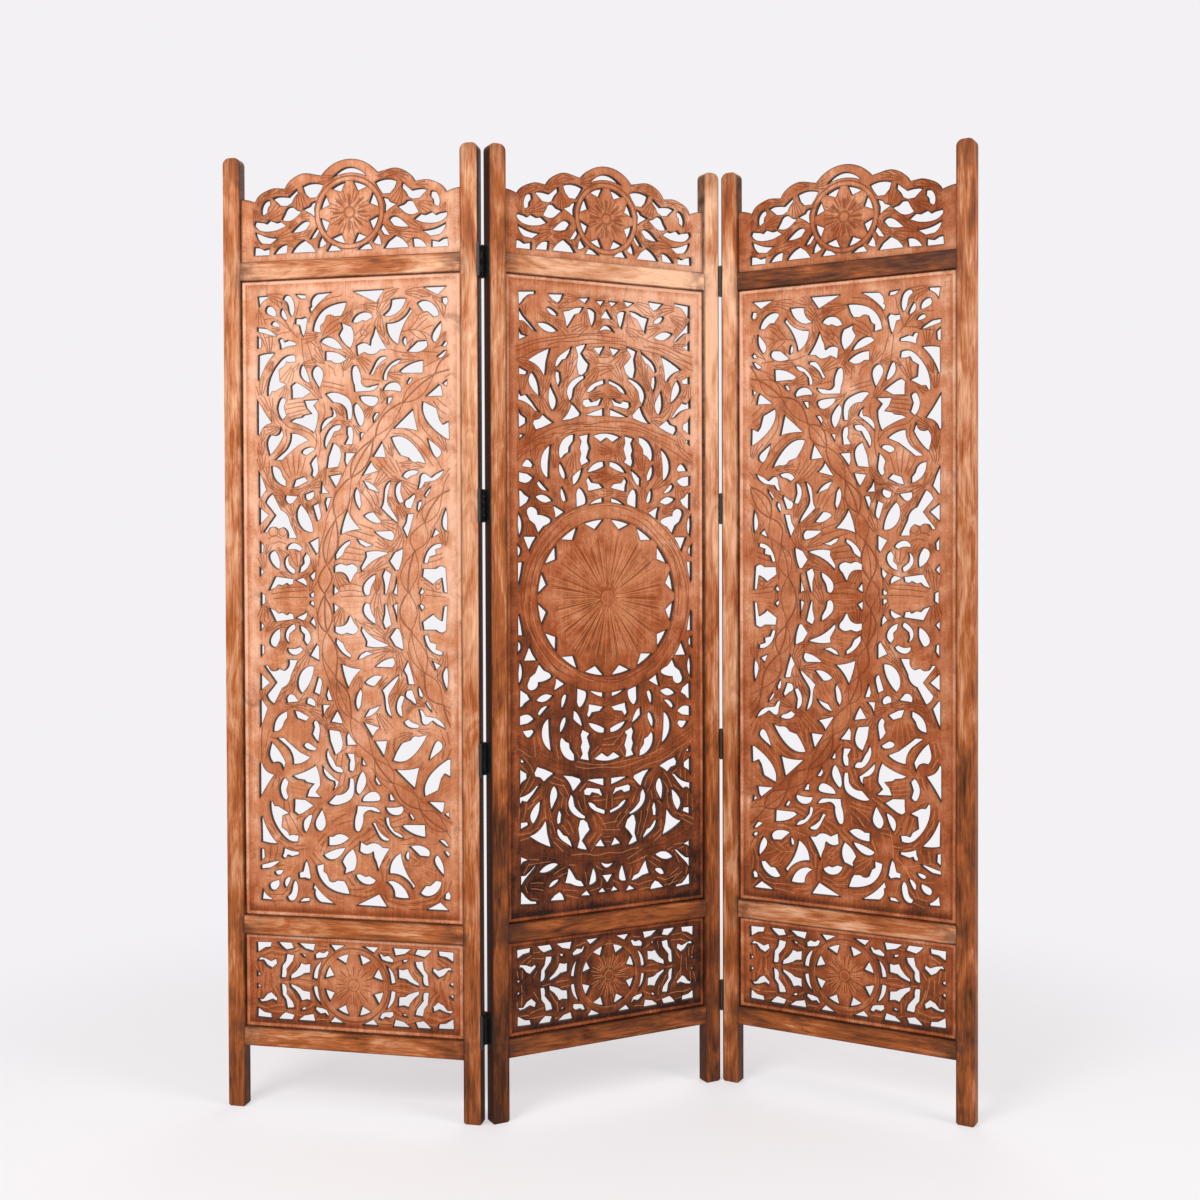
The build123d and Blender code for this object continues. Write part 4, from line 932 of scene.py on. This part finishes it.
def carved_wood(name, leaf, look, fade_and_light, seed):
    """The boards' faces: stained wood, paler upwards, partly faded and partly painted light; burnt and with
    painted shade round the openings; a painted highlight on the lip and painted shade in its crease; and cut
    through to bare wood.
    """
    made = Finish(name, Specular_IOR_Level=DRY)
    place = made.on_leaf(leaf)
    x, z = made.parts(place, "XZ")
    shifted = made.vector("ADD", place, (seed * 0.31, 0.0, seed * 0.17))
    grain = made.noise(made.vector("MULTIPLY", shifted, (260.0, 60.0, 22.0)), 1.0, 4.0, 0.6, 0.6)
    blotch = made.noise(shifted, 8.0, 3.0, 0.6)
    patch = made.noise(shifted, 30.0, 3.0, 0.6)
    speck = made.noise(shifted, 280.0, 2.0)
    rim, dark, bare, crease, lip, leafy = (
        made.attribute(label) for label in ("rim", DARK, BARE, "crease", "lip", "leafy"))
    tone = paleness_from_fade_and_light(x, z, fade_and_light, leaf.name) + 0.10
    stain = grain.swing(0.34) + blotch.swing(0.7) + patch.swing(0.5) + speck.swing(0.22)
    tone = tone + stain * (1.6 - tone * 0.7)
    # painted highlight on the lip, painted shade in the crease and gap beside it, and more stain on the leafy
    # parts
    tone = tone + lip * 0.12 - crease * (0.10 + patch * 0.42) - leafy * (0.06 + patch * 0.22)
    colours = wood_colours(look.deep, look.colour, look.faded_and_lit, (0.44, 0.34, 0.265))
    smudge = made.noise(shifted, 19.0, 4.0, 0.65, 0.8).ramp((0.56, 0.0), (0.72, 0.55))
    shade = made.mix(smudge, tones(tone, colours), rgba(colours[1]))
    shade = made.mix((dark * (0.5 + patch * 0.9)).clamp() * 0.8, shade, rgba(look.line))
    thin = (bare * 1.6 - 0.4).clamp()
    shade = made.mix((thin * (0.4 + patch * 1.2)).clamp() * 0.62, shade, rgba(look.bare))
    # burnt stain and painted shade round the openings, stronger where the board is darker
    rim_stain_and_shade = rim.rise(0.6, 6.5, 1.0, 0.0) ** 1.5
    rim_stain_and_shade = (rim_stain_and_shade * patch.ramp((0.34, 0.15), (0.62, 1.0)) * (1.15 - tone * 0.7)).clamp()
    shade = made.mix((rim_stain_and_shade * 0.85).clamp(), shade, rgba(look.deep))
    edge = (rim.rise(0.3, 1.9, 1.0, 0.0) * (0.75 + patch * 0.8 - tone * 0.3)).clamp()
    shade = made.mix((edge * 0.92).clamp(), shade, rgba(look.burnt))
    return made.finish(shade, 0.5 + speck * 0.2, grain * 0.6 + speck * 0.4)


def burnt_wall(name, look):
    """The sawn walls of the openings, scorched and stained."""
    made = Finish(name)
    place = made.place()
    saw = made.noise(made.vector("MULTIPLY", place, (90.0, 90.0, 400.0)), 1.0, 3.0)
    patch = made.noise(place, 16.0, 2.0)
    deeper = (saw * 0.5 + patch * 0.5).ramp((0.40, 0.0), (0.70, 0.8))
    shade = made.mix(deeper, rgba(look.burnt), dimmed(look.deep, 1.2))
    return made.finish(shade, 0.6 + saw * 0.25, saw)


def hinge_paint(name, look):
    """Thick black paint over steel."""
    made = Finish(name, Specular_IOR_Level=0.45)
    place = made.place()
    dents = made.noise(place, 380.0, 3.0)
    dust = made.noise(place, 90.0, 3.0)
    shade = made.mix(dust.ramp((0.5, 0.0), (0.8, 0.35)), rgba(look.paint), (0.06, 0.045, 0.035, 1))
    return made.finish(shade, 0.32 + dust * 0.3, dents, 0.0001)


def pin_steel(name, look):
    """Dark worn steel."""
    made = Finish(name, Metallic=1.0)
    wear = made.noise(made.place(), 320.0, 4.0)
    shade = made.mix(wear.ramp((0.4, 0.0), (0.7, 1.0)), rgba(look.steel), (0.04, 0.03, 0.025, 1))
    return made.finish(shade, 0.34 + wear * 0.25, wear, 0.00005)


def dress(node, material):
    """Gives a CAD node its finish."""
    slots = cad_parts[node].data.materials
    if not slots:
        slots.append(material)
    for i in range(len(slots)):
        slots[i] = material


# ---------------- patterns of each board
SIDE_RINGS = (((459.6, 0), 493, 534, 64), ((440, 0), 304, 349, 80))     # middle, low, high and reach
CENTRE_RINGS = ((318, 350), (486, 517))
CENTRE_BAND = (157, 183)         # the round band next to the centre flower
SIDE_MIDDLE = (259, 976)         # the board's middle, where the veins below were drawn

# Veins and stems of a side leaf's upper half: x and z of each point, from its left edge and its foot
SIDE_VEINS = (
    (112, 1545, 118, 1530, 128, 1506, 139, 1490), (85, 1512, 105, 1513, 123, 1502, 138, 1489),
    (86, 1477, 105, 1480, 122, 1485, 138, 1487), (157, 1542, 153, 1525, 147, 1507, 142, 1491),
    (122, 1520, 130, 1506, 139, 1492), (152, 1476, 147, 1481, 143, 1486),
    (204, 1480, 212, 1492, 222, 1501, 235, 1507), (203, 1476, 217, 1485, 232, 1496, 238, 1500),
    (212, 1476, 225, 1483, 236, 1488), (176, 1503, 181, 1517, 196, 1536, 216, 1547, 240, 1551),
    (161, 1474, 163, 1450, 167, 1424, 170, 1402), (172, 1470, 177, 1450, 184, 1430),
    (215, 1420, 224, 1414, 229, 1402), (241, 1420, 244, 1412, 245, 1400),
    (362, 1479, 385, 1482, 407, 1476, 421, 1466), (376, 1482, 388, 1495, 396, 1508),
    (388, 1482, 400, 1493, 411, 1502), (379, 1479, 389, 1470, 398, 1464), (397, 1479, 407, 1470, 411, 1463),
    (402, 1481, 413, 1486, 422, 1489), (392, 1509, 401, 1512, 410, 1514), (398, 1502, 406, 1507, 413, 1509),
    (338, 1501, 354, 1507, 367, 1518, 377, 1534), (333, 1506, 350, 1514, 362, 1526, 371, 1541),
    (271, 1464, 284, 1477, 297, 1493), (281, 1464, 290, 1472, 298, 1480), (270, 1476, 280, 1486, 288, 1495),
    (402, 1410, 418, 1418, 433, 1425, 450, 1434), (338, 1447, 362, 1440, 395, 1441, 430, 1438),
    (131, 1330, 150, 1334, 171, 1338), (129, 1339, 150, 1343, 170, 1345), (131, 1348, 150, 1351, 166, 1352),
    (136, 1357, 150, 1359, 158, 1359), (136, 1323, 150, 1327, 162, 1330),
    (122, 1316, 136, 1304, 160, 1299, 180, 1290, 192, 1274), (128, 1300, 130, 1281, 121, 1263, 106, 1249),
    (118, 1238, 124, 1225, 134, 1209), (129, 1249, 133, 1231, 139, 1212), (142, 1254, 144, 1235, 146, 1214),
    (155, 1251, 154, 1233, 151, 1214), (167, 1243, 163, 1228, 157, 1212), (222, 1292, 232, 1296, 240, 1296),
    (226, 1284, 234, 1289, 242, 1289), (206, 1346, 208, 1332, 205, 1319),
    (196, 1300, 199, 1276, 196, 1252, 190, 1236), (188, 1300, 191, 1280, 188, 1262),
    (310, 1245, 322, 1228, 339, 1212), (321, 1247, 332, 1230, 346, 1214), (335, 1244, 343, 1230, 352, 1216),
    (349, 1238, 354, 1227, 359, 1215), (312, 1229, 324, 1217, 334, 1206),
    (344, 1301, 370, 1295, 395, 1279, 416, 1255, 433, 1231, 443, 1209),
    (345, 1289, 368, 1285, 388, 1269, 406, 1248, 421, 1227), (393, 1330, 396, 1308, 408, 1290, 424, 1272),
    (424, 1346, 436, 1330, 448, 1322), (430, 1352, 442, 1341, 450, 1336), (420, 1338, 430, 1322, 440, 1314),
    (92, 1092, 104, 1098, 118, 1092), (102, 1083, 114, 1086, 126, 1082), (135, 1066, 140, 1051, 149, 1038),
    (146, 1068, 149, 1053, 151, 1038), (157, 1063, 157, 1051, 154, 1040), (98, 986, 130, 990, 168, 992),
    (104, 977, 135, 979, 170, 979), (113, 996, 138, 999, 160, 999), (236, 1001, 259, 1005, 281, 1000),
    (232, 990, 258, 993, 284, 989), (237, 980, 262, 982, 287, 981), (258, 1109, 280, 1102, 301, 1096),
    (249, 1099, 263, 1095, 277, 1091), (268, 1120, 290, 1113, 304, 1108), (238, 1066, 262, 1063, 286, 1060),
    (231, 1053, 255, 1051, 281, 1048), (246, 1077, 266, 1073, 284, 1069), (281, 1178, 294, 1162, 302, 1148),
    (291, 1183, 301, 1168, 309, 1152), (301, 1185, 310, 1172, 314, 1157), (403, 1007, 413, 1001, 426, 990),
    (406, 995, 420, 992, 436, 988), (408, 984, 425, 982, 445, 980), (424, 1010, 431, 1004, 436, 1010),
    (399, 1012, 410, 1010, 421, 1002), (412, 1053, 425, 1058, 439, 1062), (409, 1045, 425, 1048, 441, 1054),
    (82, 1420, 92, 1436, 110, 1450), (262, 1168, 258, 1140, 268, 1122), (320, 1345, 332, 1357, 345, 1362),
    (205, 1390, 225, 1386, 247, 1380), (208, 1381, 228, 1377, 245, 1372), (268, 1395, 290, 1392, 318, 1388),
)
SIDE_BUTTONS = ((101, 1105, 9.0), (121, 1105, 8.5), (286, 1480, 6.0), (430, 1000, 5.0))


def side_lines(mirrored):
    """Cuts of a side leaf's tall board, in its own x and z."""
    drawn = [smooth(np.reshape(line, (-1, 2)), 3.0) - SIDE_MIDDLE for line in SIDE_VEINS]
    drawn += [circle((x - SIDE_MIDDLE[0], z - SIDE_MIDDLE[1]), radius) for x, z, radius in SIDE_BUTTONS]
    lines = [(DARK, line) for line in drawn] + [(BARE, line * (1, -1)) for line in drawn]
    for number, (centre, low, high, reach) in enumerate(SIDE_RINGS):
        lines += braid(centre, low, high, 180 - reach, 180 + reach, 74, 5 + number + 2 * mirrored)
    return [(kind, line * (-1 if mirrored else 1, 1) + (0, MAIN_MIDDLE)) for kind, line in lines]


def centre_lines():
    """Cuts of the centre leaf's tall board: the flower, the band round it and two wide rings."""
    middle = (0, 0)
    lines = rosette(middle, 16, 0, 13, 126, 138, 2, 3)
    rng = random.Random(8)
    # the close dark cuts at 152.8 and 154.6 mm make one wide line: a cut and the painted shadow at the raised
    # ring's inner edge
    lines += [(DARK, arc(middle, radius, 0, 360, 0.4, 5)) for radius in (152.8, 154.6, 186.0)]
    inner, outer = CENTRE_BAND
    for number in range(30):
        start, radius = rng.uniform(0, 360), inner + (outer - inner) * ((number * 0.618) % 1)
        end, turns, shift = start + rng.uniform(20, 62), rng.uniform(0.4, 1), rng.random()
        lines.append((DARK if number % 3 else BARE, arc(middle, radius, start, end, 2.4, turns, shift)))
    for seed, (low, high) in enumerate(CENTRE_RINGS, 1):
        rng = random.Random(seed)
        for track in (0.2, 0.4, 0.6, 0.8):
            start = rng.uniform(0, 20)
            while start < 350:
                end = start + rng.uniform(14, 40)
                radius = low + (high - low) * (track + rng.uniform(-0.05, 0.05))
                turns, shift = rng.uniform(1, 3), rng.random()
                lines.append((DARK, arc(middle, radius, start, end, 1.6, turns, shift)))
                start = end + rng.uniform(2, 9)
    placed = [(kind, line + (0, MAIN_MIDDLE)) for kind, line in lines]
    return [(kind if line[:, 1].mean() > 860 or rng.random() > 0.4 else BARE, line) for kind, line in placed]


def small_rosette(middle, ring, seed):
    """An eight-petalled flower in its ring."""
    lines = rosette(middle, 8, 22.5, 9, 36, 48, 2, seed)
    return lines + [(BARE, circle(middle, ring - 5)), (DARK, circle(middle, ring + 3)),
                    (DARK, circle(middle, ring + 4.4))]


def tall_pattern(number):
    """The cuts of a leaf's tall board, and its plain rounds: middle, inner and outer radius."""
    name = LEAVES[number]
    if name == "centre":
        middle = (0, MAIN_MIDDLE)
        bands = [(middle, low - 2, high + 2) for low, high in CENTRE_RINGS]
        return centre_lines(), [(middle, 0, 188)] + bands
    side = -1 if name == "right" else 1
    bands = [((side * middle[0], MAIN_MIDDLE), low - 2, high + 2) for middle, low, high, _ in SIDE_RINGS]
    return side_lines(name == "right"), bands


def low_pattern(number):
    """The low board's flower."""
    middle = (0, LOWER_MIDDLE)
    return small_rosette(middle, 66.5, number), [(middle, 0, 76)]


def crest_pattern(number):
    """The crest's flower, whose cuts all keep the stain."""
    middle = (0, CREST_MIDDLE)
    return [(DARK, line) for _, line in small_rosette(middle, 65, number)], [(middle, 0, 74)]


def carve_boards(context, piece, label, node, first_seed, pattern, lipped=True):
    """Carves one board of each leaf."""
    look, fade_and_light = context.scene.jali_carving, context.scene.jali_fading
    walls = burnt_wall(f"{label}_walls", look)
    for number, name in enumerate(LEAVES):
        leaf = LEAF[name]
        face = carved_wood(f"{name}_{label}_face", leaf, look, fade_and_light, number + first_seed)
        lines, plain = pattern(number)
        carve(f"{name}_{piece}", f"{name}_{node}", leaf, lines, look, (face, walls), number, plain, lipped)
    return {"FINISHED"}


# ---------------- the stage
IMAGE_SIZE = 1200.0              # pixels across and down
OPTICAL_AXIS = (558.03, 580.469)     # the pixel on the camera's axis
FOCAL_PIXELS = 1493.576
SENSOR = 36.0                    # mm
CAMERA_PLACE = (-0.0218, -2.9022, 1.05712)
YAW, PITCH, ROLL = math.radians(0.959), math.radians(-0.827), math.radians(-0.214)

FLOOR = ((-9, -7, 0), (9, -7, 0), (9, 12, 0), (-9, 12, 0))
SHADOW_EDGE = (0.95, 1.9)        # metres from the screen's middle over which the shadow dies away
SHADOW_GLOW = 0.52               # share of the floor's own light where the shadow lies
LAMPS = (                        # name, place, target, size and share of the main lamp's power
    ("main_lamp", (-1.9, -2.9, 2.7), (-0.1, 0, 1.0), 1.6, 1.0),
    ("side_lamp", (2.6, -1.7, 2.3), (0.1, 0, 1.3), 1.4, 0.45),
    ("back_lamp", (0.6, 3.2, 3.0), (0, 0, 0.9), 2.5, 0.35),
)
LAMP_COLOUR, AIR_COLOUR = (1.0, 0.985, 0.97), (1.0, 0.99, 0.98, 1.0)


def lay_floor(scene, look):
    """A pale floor that lights itself away from the screen's shadow."""
    mesh = bpy.data.meshes.new("floor")
    mesh.from_pydata(FLOOR, [], [(0, 1, 2, 3)])
    floor = bpy.data.objects.new("floor", mesh)
    scene.collection.objects.link(floor)
    made = Finish("floor_paint", Roughness=0.9)
    place = made.place()
    away = made.vector("LENGTH", made.vector("MULTIPLY", place, (1.0, 1.0, 0.0)), output="Value")
    share = SHADOW_GLOW + away.rise(*SHADOW_EDGE, smooth=True) * (1 - SHADOW_GLOW)
    chalk = [min(1.0, c * 1.11) for c in look.floor]
    made.finish(made.mix(made.noise(place, 3.0, 2.0), rgba(chalk), dimmed(chalk, 0.985)))
    glow = made.tree.nodes.new("ShaderNodeEmission")
    glow.inputs["Color"].default_value = rgba(look.floor)
    blend(made.tree, share.socket, made.shader, glow, "Material Output")
    mesh.materials.append(made.material)


def blend(tree, share, low, high, output):
    """Mixes two shaders into a tree's output."""
    mixed = tree.nodes.new("ShaderNodeMixShader")
    for slot, socket in enumerate((share, low.outputs[0], high.outputs[0])):
        tree.links.new(socket, mixed.inputs[slot])
    tree.links.new(mixed.outputs[0], tree.nodes[output].inputs["Surface"])


def light_air(scene, look):
    """Soft light from all round, behind a backdrop that only the camera and reflections see."""
    scene.world = bpy.data.worlds.new("studio")
    scene.world.use_nodes = True
    tree = scene.world.node_tree
    seen, soft = tree.nodes["Background"], tree.nodes.new("ShaderNodeBackground")
    for sky, colour, strength in ((seen, rgba(look.floor), 1.0), (soft, AIR_COLOUR, look.air)):
        sky.inputs["Color"].default_value = colour
        sky.inputs["Strength"].default_value = strength
    path = tree.nodes.new("ShaderNodeLightPath")
    either = tree.nodes.new("ShaderNodeMath")
    either.operation = "MAXIMUM"
    for slot, ray in enumerate(("Is Camera Ray", "Is Glossy Ray")):
        tree.links.new(path.outputs[ray], either.inputs[slot])
    blend(tree, either.outputs[0], soft, seen, "World Output")


def set_lamps(scene, look):
    for name, place, target, size, share in LAMPS:
        lamp = bpy.data.lights.new(name, "AREA")
        lamp.size, lamp.energy, lamp.color = size, look.lamp * share, LAMP_COLOUR
        holder = bpy.data.objects.new(name, lamp)
        holder.location = place
        holder.rotation_euler = (Vector(target) - Vector(place)).to_track_quat("-Z", "Y").to_euler()
        scene.collection.objects.link(holder)


def set_camera(scene):
    side = Vector((math.cos(YAW), math.sin(YAW), 0))
    ahead = Vector((-math.sin(YAW), math.cos(YAW), 0))
    up = Vector((0, 0, 1))
    forward = ahead * math.cos(PITCH) + up * math.sin(PITCH)
    top = up * math.cos(PITCH) - ahead * math.sin(PITCH)
    right = side * math.cos(ROLL) + top * math.sin(ROLL)
    top = top * math.cos(ROLL) - side * math.sin(ROLL)
    lens = bpy.data.cameras.new("camera")
    lens.sensor_fit, lens.sensor_width = "HORIZONTAL", SENSOR
    lens.lens = FOCAL_PIXELS / IMAGE_SIZE * SENSOR
    lens.shift_x = 0.5 - OPTICAL_AXIS[0] / IMAGE_SIZE
    lens.shift_y = OPTICAL_AXIS[1] / IMAGE_SIZE - 0.5
    lens.clip_start, lens.clip_end = 0.05, 60.0
    camera = bpy.data.objects.new("camera", lens)
    turned = Matrix((right, top, -forward)).transposed().to_4x4()
    camera.matrix_world = Matrix.Translation(CAMERA_PLACE) @ turned
    scene.collection.objects.link(camera)
    scene.camera = camera


# ---------------- operators
class JALI_OT_frames(bpy.types.Operator):
    """Finish the stiles and rails of the three leaves"""

    bl_idname = "jali.frames"
    bl_label = "Frames"

    def execute(self, context):
        look, fade_and_light = context.scene.jali_timber, context.scene.jali_fading
        for number, name in enumerate(LEAVES):
            for piece, seed in PLANK_SEED.items():
                wood = frame_wood(LEAF[name], piece, look, fade_and_light, seed + 7 * number)
                dress(f"{name}_{piece}", wood)
        return {"FINISHED"}


class JALI_OT_main_boards(bpy.types.Operator):
    """Carve the tall board of each leaf"""

    bl_idname = "jali.main_boards"
    bl_label = "Tall boards"

    def execute(self, context):
        return carve_boards(context, "tall_board", "tall_board", "panel_main", 1, tall_pattern)


class JALI_OT_lower_boards(bpy.types.Operator):
    """Carve the low board of each leaf"""

    bl_idname = "jali.lower_boards"
    bl_label = "Low boards"

    def execute(self, context):
        return carve_boards(context, "low_board", "low_board", "panel_lower", 11, low_pattern)


class JALI_OT_crests(bpy.types.Operator):
    """Carve the scalloped crest of each leaf"""

    bl_idname = "jali.crests"
    bl_label = "Crests"

    def execute(self, context):
        return carve_boards(context, "crest_board", "crest", "crest", 21, crest_pattern, lipped=False)


class JALI_OT_hinges(bpy.types.Operator):
    """Finish the hinges, their pins and their screws"""

    bl_idname = "jali.hinges"
    bl_label = "Hinges"

    def execute(self, context):
        look = context.scene.jali_hinges
        paint, steel = hinge_paint("hinge_paint", look), pin_steel("hinge_steel", look)
        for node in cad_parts:
            if node.startswith("hinge_"):
                dress(node, paint)
            elif node.startswith(("pins_", "screws_")):
                dress(node, steel)
        return {"FINISHED"}


class JALI_OT_stage(bpy.types.Operator):
    """Set the pale floor, the soft lamps and the camera"""

    bl_idname = "jali.stage"
    bl_label = "Stage"

    def execute(self, context):
        scene, look = context.scene, context.scene.jali_stage
        scene.view_settings.view_transform = "Standard"
        lay_floor(scene, look)
        light_air(scene, look)
        set_lamps(scene, look)
        set_camera(scene)
        return {"FINISHED"}


class JALI_PT_panel(bpy.types.Panel):
    """Lists the pieces of the screen"""

    bl_idname = "JALI_PT_panel"
    bl_label = "Jali Screen"
    bl_space_type = "VIEW_3D"
    bl_region_type = "UI"
    bl_category = "Jali Screen"

    def draw(self, context):
        for group, steps in (("jali_fading", ()),
                             ("jali_timber", ("jali.frames",)),
                             ("jali_carving", ("jali.main_boards", "jali.lower_boards", "jali.crests")),
                             ("jali_hinges", ("jali.hinges",)),
                             ("jali_stage", ("jali.stage",))):
            box = self.layout.box()
            look = getattr(context.scene, group)
            for key in look.__annotations__:
                box.prop(look, key)
            for step in steps:
                box.operator(step)


GROUPS = {"jali_fading": JaliFadeAndLight, "jali_timber": JaliTimber, "jali_carving": JaliCarving,
          "jali_hinges": JaliHinges, "jali_stage": JaliStage}
CLASSES = (*GROUPS.values(), JALI_OT_frames, JALI_OT_main_boards, JALI_OT_lower_boards, JALI_OT_crests,
           JALI_OT_hinges, JALI_OT_stage, JALI_PT_panel)


def register():
    for made in CLASSES:
        bpy.utils.register_class(made)
    for name, group in GROUPS.items():
        setattr(bpy.types.Scene, name, bpy.props.PointerProperty(type=group))


def unregister():
    for name in GROUPS:
        delattr(bpy.types.Scene, name)
    for made in reversed(CLASSES):
        bpy.utils.unregister_class(made)


def main():
    register()
    bpy.ops.jali.frames()
    bpy.ops.jali.main_boards()
    bpy.ops.jali.lower_boards()
    bpy.ops.jali.crests()
    bpy.ops.jali.hinges()
    bpy.ops.jali.stage()


if __name__ == "__main__":
    main()
